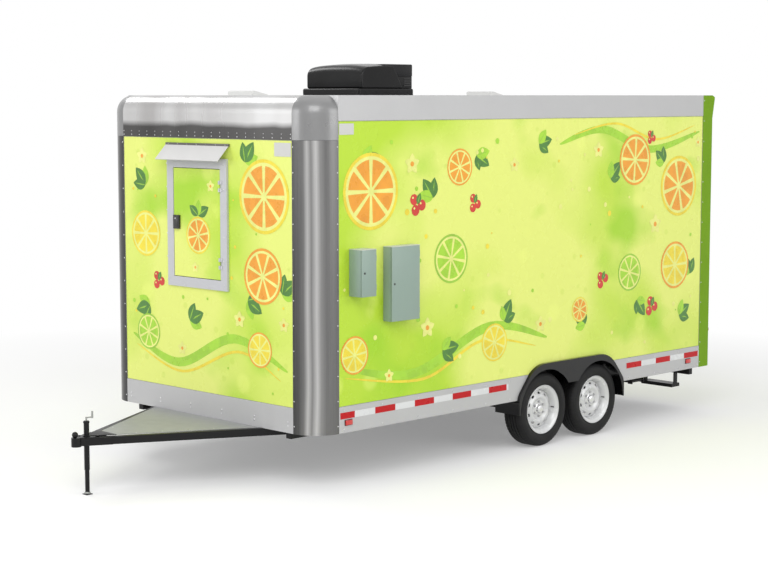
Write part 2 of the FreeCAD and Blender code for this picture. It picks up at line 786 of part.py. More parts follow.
def make_serving_window():
    """Opening in the curb wall: outer frame, awning, inner sliding window and its panes."""
    outer_x = (-wall_out - serving_proud, -wall_out)
    trim = frame_ring(outer_x, grown(serving_y, serving_border), grown(serving_z, serving_border),
                      serving_border, "x")
    y = grown(serving_y, -running_clearance)
    z = grown(serving_z, -running_clearance)
    face_x = -wall_out - serving_proud + 3.0
    panel = box((face_x, face_x + awning_thickness), y, z)
    pin_x = -wall_out - serving_proud - awning_pin - 0.5
    pin_z = serving_z[1] - running_clearance / 2
    length = y[1] - y[0]
    web = awning_pin + 20.0
    fixed, moving = hinge("y", pin_x, pin_z, [y[0] + length * k for k in (0.08, 0.36, 0.64, 0.92)],
                          awning_pin,
                          ((2.0, outer_x[0] - pin_x), (running_clearance / 2, web)),
                          ((2.0, face_x - pin_x), (-web, -running_clearance / 2)))
    emit("serving_frame", fuse(trim, *fixed))
    emit("awning", fuse(panel, *moving))

    frame_x = (-wall_in - window_frame, -wall_in)
    ring = frame_ring(frame_x, serving_y, serving_z, window_member, "x")
    third = (serving_y[1] - serving_y[0]) / 3
    mullions = [box(frame_x, grown((serving_y[0] + third * k, serving_y[0] + third * k),
                                   window_member / 2), serving_z) for k in (1, 2)]
    emit("window_frame", fuse(ring, *mullions))
    pane_x = (-wall_in - window_frame / 2 - pane / 2, -wall_in - window_frame / 2 + pane / 2)
    panes = []
    for k in range(3):
        low = serving_y[0] + third * k + (window_member if k == 0 else window_member / 2)
        high = serving_y[0] + third * (k + 1) - (window_member if k == 2 else window_member / 2)
        panes.append(box(pane_x, (low, high), grown(serving_z, -window_member)))
    emit("window_panes", *panes)


shelf_pin = 7.0


def make_serving_shelf():
    """Tray shelf, folded down against the wall below the window."""
    pin_z = serving_z[0] - shelf_hinge_drop
    pin_x = -wall_out - shelf_pin - 1.0
    outer = box((pin_x - shelf_depth, pin_x), serving_y, (pin_z - shelf_reach, pin_z))
    inner = box((pin_x - shelf_depth + shelf_sheet, pin_x + 1), grown(serving_y, -shelf_sheet),
                (pin_z - shelf_reach + shelf_sheet, pin_z - shelf_sheet))
    tray = outer.cut(inner)
    length = serving_y[1] - serving_y[0]
    relief = shelf_pin + 2.0
    middles = [serving_y[0] + length * k for k in (0.06, 0.35, 0.65, 0.94)]
    fixed, moving = hinge("y", pin_x, pin_z, middles, shelf_pin,
                          ((0.0, -wall_out - pin_x), (-shelf_pin, shelf_pin)),
                          ((-relief - 8, 0.0), (-relief - 8, 0.0)))
    notches = [box((pin_x - relief, pin_x + 1), grown((middle, middle), 50.0),
                   (pin_z - relief, pin_z + 1)) for middle in middles]
    emit("shelf_hinges", *fixed)
    emit("serving_shelf", fuse(tray.cut(notches), *moving))


counter_x = (-1038.0, -640.0)
counter_top_z = 1427.0
counter_slab = 30.0
counter_panel = 20.0


def make_counter():
    """Work counter inside the serving window, on three upright panels."""
    y = grown(serving_y, 100.0)
    slab = box((-wall_in + seat_gap, counter_x[1]), y, (counter_top_z - counter_slab,
                                                       counter_top_z))
    middle = (y[0] + y[1]) / 2
    panels = [box(counter_x, span, (floor_top, counter_top_z - counter_slab)) for span in
              ((y[0], y[0] + counter_panel), grown((middle, middle), counter_panel / 2),
               (y[1] - counter_panel, y[1]))]
    emit("counter", fuse(slab, *panels))


os.makedirs("parts", exist_ok=True)
make_main_rails()
make_cross_members()
make_tongue_rails()
make_tongue_deck()
make_coupler()
make_jack()
make_axles()
make_wheels()
make_wheel_wells()
make_floor()
make_roof()
make_front_wall()
make_side_walls()
make_rear_wall()
make_front_posts()
make_front_cornice()
make_cornice_caps()
make_top_rails()
make_lower_rails()
make_rear_posts()
make_rear_header()
make_front_hatch()
make_service_boxes()
make_air_conditioner()
make_roof_vents()
make_rear_bumper()
make_rear_step()
make_rear_door()
make_tail_lamps()
make_stabilisers()
make_serving_window()
make_serving_shelf()
make_counter()
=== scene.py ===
import json
import math
import random

import bmesh
import bpy
from bpy.props import FloatProperty, FloatVectorProperty, IntProperty, PointerProperty
from mathutils import Matrix, Vector


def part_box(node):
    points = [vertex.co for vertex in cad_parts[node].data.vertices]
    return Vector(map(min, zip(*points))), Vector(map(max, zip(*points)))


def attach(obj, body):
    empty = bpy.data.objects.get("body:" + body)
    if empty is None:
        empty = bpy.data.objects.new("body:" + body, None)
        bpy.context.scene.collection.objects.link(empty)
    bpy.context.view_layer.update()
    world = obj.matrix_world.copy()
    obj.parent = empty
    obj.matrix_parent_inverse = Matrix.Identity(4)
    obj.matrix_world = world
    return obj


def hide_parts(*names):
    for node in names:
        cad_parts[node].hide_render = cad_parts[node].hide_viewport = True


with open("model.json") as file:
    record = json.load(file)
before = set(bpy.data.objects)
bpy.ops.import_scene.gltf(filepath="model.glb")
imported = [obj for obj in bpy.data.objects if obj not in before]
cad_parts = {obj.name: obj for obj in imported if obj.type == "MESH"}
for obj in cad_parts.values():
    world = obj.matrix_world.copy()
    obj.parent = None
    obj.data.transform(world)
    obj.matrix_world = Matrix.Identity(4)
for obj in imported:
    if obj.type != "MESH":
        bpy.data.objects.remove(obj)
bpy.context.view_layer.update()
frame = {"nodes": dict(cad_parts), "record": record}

bl_info = {
    "name": "Food Trailer",
    "version": (1, 0, 0),
    "blender": (4, 5, 0),
    "location": "View3D > Sidebar > Trailer",
    "description": "Finishes and small parts of a tandem-axle food trailer on its packed frame",
    "category": "Object",
}

# The trailer's frame: metres, +X street side, +Y rear, +Z up, ground at Z = 0.
NODES = frame["nodes"]
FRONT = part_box("lower_rails")[0].y          # plane of the front skirting rail
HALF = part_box("lower_rails")[1].x           # half width over the side rails
WALL_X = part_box("street_wall")[1].x         # outer face of the side walls
WALL_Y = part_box("front_wall")[0].y          # outer face of the front wall
REAR_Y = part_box("rear_wall")[1].y           # outer face of the rear wall
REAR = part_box("rear_posts")[1].y
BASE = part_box("lower_rails")[0].z
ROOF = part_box("roof")[1].z
RAIL_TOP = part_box("lower_rails")[1].z
TOP_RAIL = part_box("top_rails")[0].z
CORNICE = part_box("front_cornice")[0].z
SIDE_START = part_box("street_wall")[0].y
SIDE_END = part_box("street_wall")[1].y
FRONT_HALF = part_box("front_wall")[1].x
CORNER = HALF - FRONT_HALF                  # plan radius of the two front corners
PRINT_LIFT = 0.0006                         # printed film over the wall's face
INK_STEP = 0.00022                          # from one layer of ink to the next
AWNING_SHEET = 0.034                        # from the awning's inner face to its outer


# ---------------------------------------------------------------- settings
def colour(name, description, default):
    return FloatVectorProperty(name=name, description=description, subtype="COLOR", size=3,
                               min=0.0, max=1.0, default=default)


def length(name, description, default):
    return FloatProperty(name=name, description=description, unit="LENGTH", default=default,
                         min=0.0)


class TrailerColours(bpy.types.PropertyGroup):
    """Colours of the trailer's finishes, as linear values."""
    film_pale: colour("Film, pale", "Pale lime ground of the printed film", (0.79, 0.87, 0.21))
    film_green: colour("Film, green", "Soft green patches in the printed film",
                       (0.50, 0.73, 0.045))
    film_deep: colour("Film, deep", "Deepest green of the printed film", (0.36, 0.66, 0.022))
    post: colour("Rear posts", "Green film on the rear posts and header", (0.17, 0.34, 0.004))
    rail: colour("Rails", "Coated aluminium of the rails", (0.50, 0.50, 0.505))
    cap: colour("Corner caps", "Coated corner castings", (0.27, 0.27, 0.272))
    steel: colour("Stainless", "Brushed stainless steel", (0.40, 0.395, 0.39))
    cabinet: colour("Cabinets", "Grey-green enamel of the electrical boxes",
                    (0.27, 0.36, 0.31))
    tape: colour("Tape, red", "Red stretches of the reflective tape", (0.52, 0.004, 0.008))
    orange: colour("Print, orange", "Orange of the printed fruit", (0.92, 0.33, 0.015))
    lemon: colour("Print, yellow", "Yellow of the printed fruit", (0.93, 0.68, 0.03))
    lime: colour("Print, lime", "Green of the printed fruit", (0.30, 0.56, 0.03))
    berry: colour("Print, red", "Red of the printed fruit", (0.62, 0.03, 0.015))
    leaf: colour("Print, leaf", "Dark green of the printed leaves", (0.055, 0.20, 0.018))


class TrailerFasteners(bpy.types.PropertyGroup):
    """Sizes and spacing of rivets, screws and bolts."""
    rivet: length("Rivet head", "Radius of a rivet's head", 0.0055)
    rivet_pitch: length("Rivet pitch", "Spacing of rivets along the corner posts", 0.185)
    rivet_inset: length("Rivet inset", "From a sheet's edge to its row of rivets", 0.012)
    screw: length("Cornice screw", "Radius of a cornice screw's head", 0.0065)
    screw_pitch: length("Screw pitch", "Spacing of the cornice screws", 0.104)
    bolt: length("Rail bolt", "Radius of a skirting rail's bolt head", 0.007)


class TrailerTape(bpy.types.PropertyGroup):
    """Reflective tape along the skirting rails."""
    low: length("Lower edge", "Height of the tape's lower edge above the rail's", 0.110)
    width: length("Width", "Height of the tape", 0.051)
    dash: length("Dash", "Length of a red stretch", 0.226)
    pitch: length("Pitch", "From one red stretch to the next", 0.4495)


class TrailerWheels(bpy.types.PropertyGroup):
    """Detail of tyres and wheels."""
    grooves: IntProperty(name="Grooves", description="Grooves around the tread", default=4,
                         min=1, max=6)
    groove_depth: length("Groove depth", "Depth of the tread's grooves", 0.007)
    blocks: IntProperty(name="Blocks", description="Tread blocks around a tyre", default=64,
                        min=24, max=96)
    nuts: IntProperty(name="Wheel nuts", description="Nuts that hold each wheel", default=6,
                      min=4, max=8)
    windows: IntProperty(name="Hand holes", description="Holes around the wheel's disc",
                         default=10, min=4, max=16)


class TrailerStage(bpy.types.PropertyGroup):
    """Camera and studio."""
    lens: FloatProperty(name="Lens", description="Focal length on a 36 mm sensor",
                        default=83.16, unit="CAMERA")
    eye: FloatVectorProperty(name="Camera", description="Camera from the front wall's foot",
                             subtype="TRANSLATION", size=3, default=(10.998, -9.070, 3.032))
    heading: FloatProperty(name="Heading", description="Turn of the view from +Y towards -X",
                           subtype="ANGLE", default=math.radians(44.686))
    dip: FloatProperty(name="Dip", description="Fall of the view below level",
                       subtype="ANGLE", default=math.radians(6.171))


# ---------------------------------------------------------------- node helpers
class Shader:
    """A material whose nodes are added one call at a time."""

    def __init__(self, name):
        self.material = bpy.data.materials.new(name)
        self.material.use_nodes = True
        self.tree = self.material.node_tree
        self.surface = self.tree.nodes["Principled BSDF"]
        self.out = self.tree.nodes["Material Output"]

    def add(self, kind, inputs=None, output=0, **settings):
        node = self.tree.nodes.new(kind)
        for name, value in settings.items():
            setattr(node, name, value)
        for socket, value in (inputs or {}).items():
            self.put(node.inputs[socket], value)
        return node.outputs[output]

    def put(self, socket, value):
        if isinstance(value, bpy.types.NodeSocket):
            self.tree.links.new(value, socket)
        elif hasattr(socket.default_value, "__len__") and len(value) < len(socket.default_value):
            socket.default_value = (*value, 1.0)
        else:
            socket.default_value = value

    def set(self, **values):
        names = {"colour": "Base Color", "metal": "Metallic", "rough": "Roughness",
                 "coat": "Coat Weight", "coat_rough": "Coat Roughness", "bump": "Normal",
                 "aniso": "Anisotropic", "glow": "Emission Color", "glow_power":
                 "Emission Strength", "clear": "Transmission Weight", "ior": "IOR",
                 "alpha": "Alpha", "gloss": "Specular IOR Level"}
        for name, value in values.items():
            self.put(self.surface.inputs[names[name]], value)
        return self.material

    def object_space(self):
        return self.add("ShaderNodeTexCoord", output="Object")

    def stretched(self, vector, scale):
        return self.add("ShaderNodeMapping", {"Vector": vector, "Scale": scale})

    def noise(self, vector, scale, detail=3.0, rough=0.5):
        return self.add("ShaderNodeTexNoise", {"Vector": vector, "Scale": scale, "Detail": detail,
                                               "Roughness": rough}, output="Fac")

    def cells(self, vector, scale):
        return self.add("ShaderNodeTexVoronoi", {"Vector": vector, "Scale": scale},
                        output="Distance")

    def across(self, vector):
        """The three parts of a vector."""
        parts = self.tree.nodes.new("ShaderNodeSeparateXYZ")
        self.put(parts.inputs[0], vector)
        return parts.outputs

    def maths(self, operation, a, b=0.0, c=0.0):
        return self.add("ShaderNodeMath", {0: a, 1: b, 2: c}, operation=operation)

    def remap(self, value, low, high, to_low, to_high):
        return self.add("ShaderNodeMapRange", {"Value": value, "From Min": low, "From Max": high,
                                               "To Min": to_low, "To Max": to_high})

    def blend(self, factor, a, b):
        node = self.tree.nodes.new("ShaderNodeMix")
        node.data_type = "RGBA"
        self.put(node.inputs[0], factor)
        self.put(node.inputs[6], a)
        self.put(node.inputs[7], b)
        return node.outputs[2]

    def bumped(self, height, distance, strength=1.0, normal=None):
        inputs = {"Height": height, "Distance": distance, "Strength": strength}
        if normal is not None:
            inputs["Normal"] = normal
        return self.add("ShaderNodeBump", inputs)


def shade(base, factor):
    """A colour made darker or lighter, clipped to the printable range."""
    return tuple(min(1.0, channel * factor) for channel in base)


def worn_paint(name, base, rough=0.35, coat=0.0, speckle=0.06, metal=0.0, gloss=0.5):
    """Paint or powder coat: orange-peel relief, cloudy gloss and a slight colour drift."""
    s = Shader(name)
    at = s.object_space()
    clouds = s.noise(at, 2.3, 4.0)
    grain = s.noise(at, 260.0, 2.0)
    tone = s.blend(clouds, shade(base, 1.0 - speckle), shade(base, 1.0 + speckle))
    polish = s.remap(s.noise(at, 9.0, 5.0), 0.3, 0.7, rough - 0.05, rough + 0.08)
    return s.set(colour=tone, rough=polish, coat=coat, metal=metal, gloss=gloss,
                 bump=s.bumped(grain, 0.00015, 0.6))


def brushed_metal(name, base, along, rough=0.3, bands=0.16):
    """Brushed metal: hair-fine scratches stretched along one axis, over broad soft bands."""
    s = Shader(name)
    at = s.object_space()
    fine = [260.0, 260.0, 260.0]
    fine[along] = 3.0
    broad = [7.0, 7.0, 7.0]
    broad[along] = 0.25
    scratches = s.noise(s.stretched(at, fine), 1.0, 4.0, 0.65)
    sheen = s.noise(s.stretched(at, broad), 1.0, 2.0)
    tone = s.blend(sheen, shade(base, 1.0 - bands), shade(base, 1.0 + bands))
    tone = s.blend(0.12, tone, s.blend(scratches, shade(base, 0.6), shade(base, 1.4)))
    gloss = s.remap(scratches, 0.25, 0.75, rough - 0.08, rough + 0.1)
    return s.set(colour=tone, metal=1.0, rough=gloss, aniso=0.6,
                 bump=s.bumped(scratches, 0.0001, 0.25))


# ---------------------------------------------------------------- film and metals
def printed_film(name, settings):
    """Glossy printed vinyl: pale lime ground with soft green clouds and blurred light discs.

    Faces that look into the cabin are plain white lining panels."""
    s = Shader(name)
    at = s.object_space()
    sideways, along, _ = s.across(at)
    skin = 0.012
    lined = s.maths("LESS_THAN", s.maths("ABSOLUTE", sideways), WALL_X - skin)
    for operation, place in (("GREATER_THAN", WALL_Y + skin), ("LESS_THAN", REAR_Y - skin)):
        lined = s.maths("MULTIPLY", lined, s.maths(operation, along, place))
    drift = s.noise(at, 0.75, 2.0, 0.45)
    second = s.noise(s.stretched(at, (1.0, 1.0, 1.35)), 1.35, 2.0, 0.4)
    ahead = s.remap(along, SIDE_START, SIDE_START + 1.5, 0.30, 0.0)
    front_wall = s.remap(along, SIDE_START - 0.02, SIDE_START, 0.0, 1.0)
    lifted = s.maths("ADD", drift, s.maths("MULTIPLY", ahead, front_wall))
    patch = s.remap(lifted, 0.50, 0.70, 0.0, 1.0)
    deep = s.remap(second, 0.56, 0.72, 0.0, 0.85)
    tone = s.blend(patch, settings.film_pale, settings.film_green)
    tone = s.blend(deep, tone, settings.film_deep)
    discs = s.cells(at, 2.1)
    halo = s.remap(discs, 0.12, 0.20, 0.30, 0.0)
    tone = s.blend(halo, tone, shade(settings.film_pale, 1.15))
    small = s.cells(at, 4.7)
    tone = s.blend(s.remap(small, 0.10, 0.15, 0.22, 0.0), tone, shade(settings.film_green, 0.85))
    panel = s.blend(drift, (0.60, 0.61, 0.60), (0.68, 0.69, 0.68))
    tone = s.blend(lined, tone, panel)
    grain = s.noise(at, 320.0, 2.0)
    ripple = s.noise(at, 1.7, 2.0)
    relief = s.bumped(grain, 0.00008, 0.4, s.bumped(ripple, 0.006, 0.25))
    gloss = s.remap(s.noise(at, 6.0, 4.0), 0.3, 0.7, 0.20, 0.32)
    return s.set(colour=tone, rough=gloss, coat=0.08, gloss=0.3, bump=relief)


def print_ink(name, base, rim=None):
    """One ink of the printed motifs, with the soft shading that the printed image has."""
    s = Shader(name)
    at = s.object_space()
    cloud = s.noise(at, 9.0, 3.0)
    tone = s.blend(cloud, shade(base, 0.72), shade(base, 1.28))
    pores = s.cells(at, 120.0)
    tone = s.blend(s.remap(pores, 0.0, 0.35, 0.22, 0.0), tone, rim or shade(base, 0.55))
    return s.set(colour=tone, rough=s.remap(cloud, 0.2, 0.8, 0.22, 0.34), coat=0.3)


def mirror_steel(name, base):
    """Polished cornice: a painted reflection makes the upper band near-white and the part below is
    painted shade, with faint dark streaks and soft ripples.
    """
    s = Shader(name)
    at = s.object_space()
    streak = s.noise(s.stretched(at, (2.6, 2.6, 0.15)), 1.0, 2.0, 0.4)
    height = s.across(at)[2]
    wander = s.maths("MULTIPLY_ADD", s.noise(s.stretched(at, (3.0, 3.0, 0.3)), 1.0, 2.0), 0.05,
                     height)
    # Painted reflection: the upper band is near-white and less metallic; the lower part is painted
    # shade.
    painted_reflection_mask = s.remap(wander, CORNICE + 0.115, CORNICE + 0.165, 0.0, 1.0)
    dark = s.blend(streak, shade(base, 0.22), shade(base, 0.42))
    light = s.blend(s.remap(streak, 0.30, 0.72, 0.0, 1.0), shade(base, 1.55), (0.60, 0.60, 0.60))
    tone = s.blend(painted_reflection_mask, dark, light)
    ripple = s.noise(at, 5.0, 2.0)
    return s.set(colour=tone, metal=s.remap(painted_reflection_mask, 0.0, 1.0, 1.0, 0.75),
                 rough=s.remap(streak, 0.2, 0.8, 0.22, 0.34), aniso=0.4,
                 bump=s.bumped(ripple, 0.002, 0.25))


def corner_steel(name, base):
    """Brushed corner posts: reflections of the surroundings are painted into the colour as upright
    bands that follow the turn around the post.
    """
    s = Shader(name)
    at = s.object_space()
    sideways, along, _ = s.across(at)
    turn = s.maths("ARCTAN2", s.maths("SUBTRACT", s.maths("ABSOLUTE", sideways), FRONT_HALF),
                   s.maths("SUBTRACT", FRONT + CORNER, along))
    hair = s.noise(s.stretched(at, (220.0, 220.0, 1.5)), 1.0, 4.0, 0.6)
    waver = s.noise(s.stretched(at, (2.0, 2.0, 0.8)), 1.0, 2.0)
    where = s.maths("ADD", s.maths("DIVIDE", turn, math.pi / 2),
                    s.maths("MULTIPLY_ADD", waver, 0.10, -0.05))
    ramp = s.tree.nodes.new("ShaderNodeValToRGB")
    s.put(ramp.inputs[0], where)
    # Painted reflection: brightness set by the turn around the post, dark at the edges with lighter
    # upright bands.
    painted_reflection_stops = [(0.0, 0.02), (0.14, 0.035), (0.26, 0.13), (0.34, 0.46), (0.42, 0.20), (0.52, 0.50),
             (0.60, 0.24), (0.71, 0.13), (0.88, 0.12), (1.0, 0.10)]
    while len(ramp.color_ramp.elements) < len(painted_reflection_stops):
        ramp.color_ramp.elements.new(0.5)
    for element, (place, value) in zip(ramp.color_ramp.elements, painted_reflection_stops):
        element.position = place
        element.color = (*(value * channel / 0.4 for channel in base), 1.0)
    tone = s.blend(0.10, ramp.outputs[0], s.blend(hair, (0.1, 0.1, 0.1), (0.8, 0.8, 0.8)))
    return s.set(colour=tone, metal=0.85, rough=s.remap(hair, 0.25, 0.75, 0.26, 0.42),
                 bump=s.bumped(hair, 0.0001, 0.3))


def rubber(name):
    """Tyre rubber: near-black, dusty in patches, with a fine matt grain."""
    s = Shader(name)
    at = s.object_space()
    dust = s.remap(s.noise(at, 7.0, 5.0, 0.65), 0.45, 0.75, 0.0, 0.35)
    tone = s.blend(dust, (0.009, 0.009, 0.0095), (0.028, 0.027, 0.026))
    grain = s.noise(at, 900.0, 2.0)
    return s.set(colour=tone, rough=0.62, gloss=0.25, bump=s.bumped(grain, 0.0002, 0.5))


def clear_glass(name):
    """Tinted window glass with faint smears."""
    s = Shader(name)
    at = s.object_space()
    smear = s.noise(at, 3.5, 4.0)
    return s.set(colour=s.blend(smear, (0.72, 0.80, 0.78), (0.80, 0.86, 0.85)), clear=1.0,
                 ior=1.5, rough=s.remap(smear, 0.3, 0.7, 0.0, 0.03))


def lens_red(name):
    """Moulded red lens over a ribbed inner face."""
    s = Shader(name)
    at = s.object_space()
    ribs = s.add("ShaderNodeTexWave", {"Vector": at, "Scale": 28.0, "Distortion": 0.0},
                 output="Fac", wave_type="BANDS", bands_direction="X")
    tone = s.blend(ribs, (0.32, 0.004, 0.004), (0.62, 0.012, 0.010))
    return s.set(colour=tone, rough=0.12, coat=0.8, bump=s.bumped(ribs, 0.002, 0.6))


def chequer_floor(name):
    """Chequer-plate vinyl floor: grey with a raised lozenge pattern."""
    s = Shader(name)
    at = s.object_space()
    turned = s.add("ShaderNodeMapping", {"Vector": at, "Rotation": (0, 0, math.pi / 4)})
    bars = s.cells(s.stretched(turned, (30.0, 12.0, 1.0)), 1.0)
    speck = s.noise(at, 180.0, 2.0)
    tone = s.blend(speck, (0.13, 0.135, 0.14), (0.21, 0.215, 0.22))
    return s.set(colour=tone, rough=0.55, bump=s.bumped(s.remap(bars, 0.1, 0.3, 1.0, 0.0),
                                                        0.0012, 0.8))


def moulded_black(name, level=0.004, rough=0.24):
    """Glossy black moulding of the roof unit, with a fine leather grain."""
    s = Shader(name)
    at = s.object_space()
    grain = s.cells(at, 420.0)
    cloud = s.noise(at, 4.0, 3.0)
    tone = s.blend(cloud, (level, level, level), (level * 2.2, level * 2.2, level * 2.3))
    return s.set(colour=tone, rough=s.remap(cloud, 0.3, 0.7, rough - 0.06, rough + 0.06),
                 gloss=0.22, bump=s.bumped(grain, 0.0001, 0.2))


def blank_label(name, base):
    """Plain label stock: one quiet tone with a paper tooth."""
    s = Shader(name)
    at = s.object_space()
    tooth = s.noise(at, 500.0, 2.0)
    return s.set(colour=s.blend(tooth, shade(base, 0.95), shade(base, 1.05)), rough=0.5,
                 bump=s.bumped(tooth, 0.00005, 0.5))


MATERIALS = {}


def build_materials(settings):
    """All finishes, under the names that the packed frame's slots use, and a few more."""
    make = {
        "frame_black": lambda n: worn_paint(n, (0.006, 0.006, 0.0065), 0.34, 0.0, 0.3, gloss=0.25),
        "deck_grey": lambda n: worn_paint(n, (0.33, 0.335, 0.34), 0.5, 0.0, 0.08),
        "jack_zinc": lambda n: worn_paint(n, (0.36, 0.37, 0.35), 0.34, 0.0, 0.12, metal=0.5),
        "wheel_tub": lambda n: worn_paint(n, (0.004, 0.004, 0.0045), 0.18, 0.25, 0.2, gloss=0.3),
        "floor_ply": chequer_floor,
        "roof_white": lambda n: worn_paint(n, (0.66, 0.67, 0.68), 0.5, 0.0, 0.05, gloss=0.25),
        "wrap": lambda n: printed_film(n, settings),
        "door_white": lambda n: printed_film(n, settings),
        "stainless": lambda n: brushed_metal(n, settings.steel, 2, 0.3),
        "rail_grey": lambda n: worn_paint(n, settings.rail, 0.38, 0.1, 0.05, metal=0.15),
        "post_green": lambda n: worn_paint(n, settings.post, 0.34, 0.0, 0.08, gloss=0.15),
        "hatch_grey": lambda n: worn_paint(n, (0.53, 0.535, 0.56), 0.36, 0.1, 0.05),
        "box_grey": lambda n: worn_paint(n, settings.cabinet, 0.42, 0.0, 0.08),
        "ac_black": moulded_black,
        "vent_white": lambda n: worn_paint(n, (0.70, 0.70, 0.68), 0.4, 0.1, 0.05),
        "lamp_red": lens_red,
        "window_aluminium": lambda n: brushed_metal(n, (0.62, 0.62, 0.63), 1, 0.32),
        "glass": clear_glass,
        "counter_steel": lambda n: brushed_metal(n, (0.55, 0.55, 0.545), 1, 0.28),
        "tyre": rubber,
        "rim_white": lambda n: worn_paint(n, (0.66, 0.665, 0.67), 0.24, 0.4, 0.02, metal=0.1),
        "latch_black": lambda n: worn_paint(n, (0.012, 0.012, 0.012), 0.38, 0.2, 0.2),
        "corner_steel": lambda n: corner_steel(n, settings.steel),
        "cornice_steel": lambda n: mirror_steel(n, (0.27, 0.265, 0.262)),
        "cap_grey": lambda n: worn_paint(n, shade(settings.cap, 0.84), 0.32, 0.25, 0.1, metal=0.3),
        "visor_dark": lambda n: worn_paint(n, (0.085, 0.08, 0.075), 0.35, 0.1, 0.15),
        "visor_pale": lambda n: worn_paint(n, (0.62, 0.615, 0.61), 0.5, 0.0, 0.03, gloss=0.2),
        "tape_red": lambda n: worn_paint(n, settings.tape, 0.3, 0.05, 0.12, gloss=0.25),
        "tape_white": lambda n: worn_paint(n, (0.72, 0.73, 0.74), 0.25, 0.5, 0.05),
        "screw_head": lambda n: worn_paint(n, (0.60, 0.60, 0.61), 0.28, 0.0, 0.1, metal=0.7),
        "zinc_nut": lambda n: worn_paint(n, (0.50, 0.50, 0.51), 0.25, 0.0, 0.1, metal=0.9),
        "chrome_cap": lambda n: worn_paint(n, (0.72, 0.72, 0.73), 0.12, 0.0, 0.03, metal=0.95),
        "seal_grey": lambda n: worn_paint(n, (0.30, 0.31, 0.26), 0.55, 0.0, 0.1),
        "seal_black": lambda n: worn_paint(n, (0.02, 0.02, 0.02), 0.6, 0.0, 0.2),
        # Upper band of the roof unit's rear housing, lighter than the moulding as a painted
        # reflection.
        "housing_painted_reflection": lambda n: worn_paint(n, (0.012, 0.012, 0.013), 0.30, 0.0, 0.15, gloss=0.2),
        # Pale top caps of the electrical boxes: a painted highlight where the tops face the light.
        "cabinet_top_painted_highlight": lambda n: worn_paint(n, (0.56, 0.60, 0.56), 0.38, 0.1, 0.05),
        "label": lambda n: blank_label(n, (0.60, 0.60, 0.58)),
        "marker_red": lens_red,
        "ink_orange": lambda n: print_ink(n, settings.orange, settings.lemon),
        "ink_lemon": lambda n: print_ink(n, settings.lemon, settings.orange),
        "ink_lime": lambda n: print_ink(n, settings.lime, settings.leaf),
        "ink_berry": lambda n: print_ink(n, settings.berry, settings.orange),
        "ink_leaf": lambda n: print_ink(n, settings.leaf, settings.lime),
        "ink_pale": lambda n: print_ink(n, shade(settings.film_pale, 1.1), settings.lemon),
        "ink_green": lambda n: print_ink(n, settings.film_deep, settings.film_green),
    }
    for name, maker in make.items():
        MATERIALS[name] = maker(name)


# Slots whose node takes another finish than the rest of that slot.
NODE_FINISH = {"front_posts": "corner_steel", "front_cornice": "cornice_steel",
               "cornice_caps": "cap_grey", "jack_tube": "frame_black", "jack_leg": "frame_black"}


# ---------------------------------------------------------------- mesh helpers
def finish_piece(mesh, name, materials, body="trailer", smooth=True, angle=35.0):
    """Turns a bmesh into a piece that rides its body: faces outward, edges sharp by angle."""
    bmesh.ops.remove_doubles(mesh, verts=mesh.verts, dist=1e-6)
    bmesh.ops.recalc_face_normals(mesh, faces=mesh.faces)
    data = bpy.data.meshes.new(name)
    mesh.to_mesh(data)
    mesh.free()
    for material in materials:
        data.materials.append(MATERIALS[material])
    if smooth:
        data.shade_smooth()
        data.set_sharp_from_angle(angle=math.radians(angle))
    piece = bpy.data.objects.new(name, data)
    bpy.context.scene.collection.objects.link(piece)
    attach(piece, body)
    return piece


def soften(piece, width, segments=2):
    """Rounds the piece's sharp edges."""
    bevel = piece.modifiers.new("Edges", "BEVEL")
    bevel.width = width
    bevel.segments = segments
    bevel.limit_method = "ANGLE"
    bevel.angle_limit = math.radians(40)
    bevel.harden_normals = True


def paint(mesh, before, index):
    """Gives every face that is not in the set before the material slot index."""
    for face in mesh.faces:
        if face not in before:
            face.material_index = index


def add_box(mesh, low, high, index=0, bevel=0.0):
    before = set(mesh.faces)
    size = Vector(high) - Vector(low)
    middle = (Vector(low) + Vector(high)) / 2
    matrix = Matrix.Translation(middle) @ Matrix.Diagonal((*size, 1.0))
    made = bmesh.ops.create_cube(mesh, size=1.0, matrix=matrix)
    if bevel:
        edges = {edge for vert in made["verts"] for edge in vert.link_edges}
        bmesh.ops.bevel(mesh, geom=list(edges), offset=bevel, segments=2, profile=0.5,
                        affect="EDGES", material=-1)
    paint(mesh, before, index)


def towards(direction):
    """Rotation that carries +Z to the given direction."""
    return Vector(direction).to_track_quat("Z", "Y").to_matrix().to_4x4()


def add_rod(mesh, start, end, radius, index=0, sides=24, tip=None):
    """A round bar from start to end, or a cone when tip gives its end radius."""
    before = set(mesh.faces)
    start, end = Vector(start), Vector(end)
    matrix = Matrix.Translation((start + end) / 2) @ towards(end - start)
    bmesh.ops.create_cone(mesh, cap_ends=True, cap_tris=False, segments=sides, radius1=radius,
                          radius2=radius if tip is None else tip,
                          depth=(end - start).length, matrix=matrix)
    paint(mesh, before, index)


def add_head(mesh, centre, normal, radius, rise, index=0, sides=10):
    """A domed rivet or screw head: a short drum under a lower cone."""
    centre, normal = Vector(centre), Vector(normal).normalized()
    add_rod(mesh, centre, centre + normal * rise * 0.55, radius, index, sides)
    add_rod(mesh, centre + normal * rise * 0.55, centre + normal * rise, radius, index, sides,
            radius * 0.55)


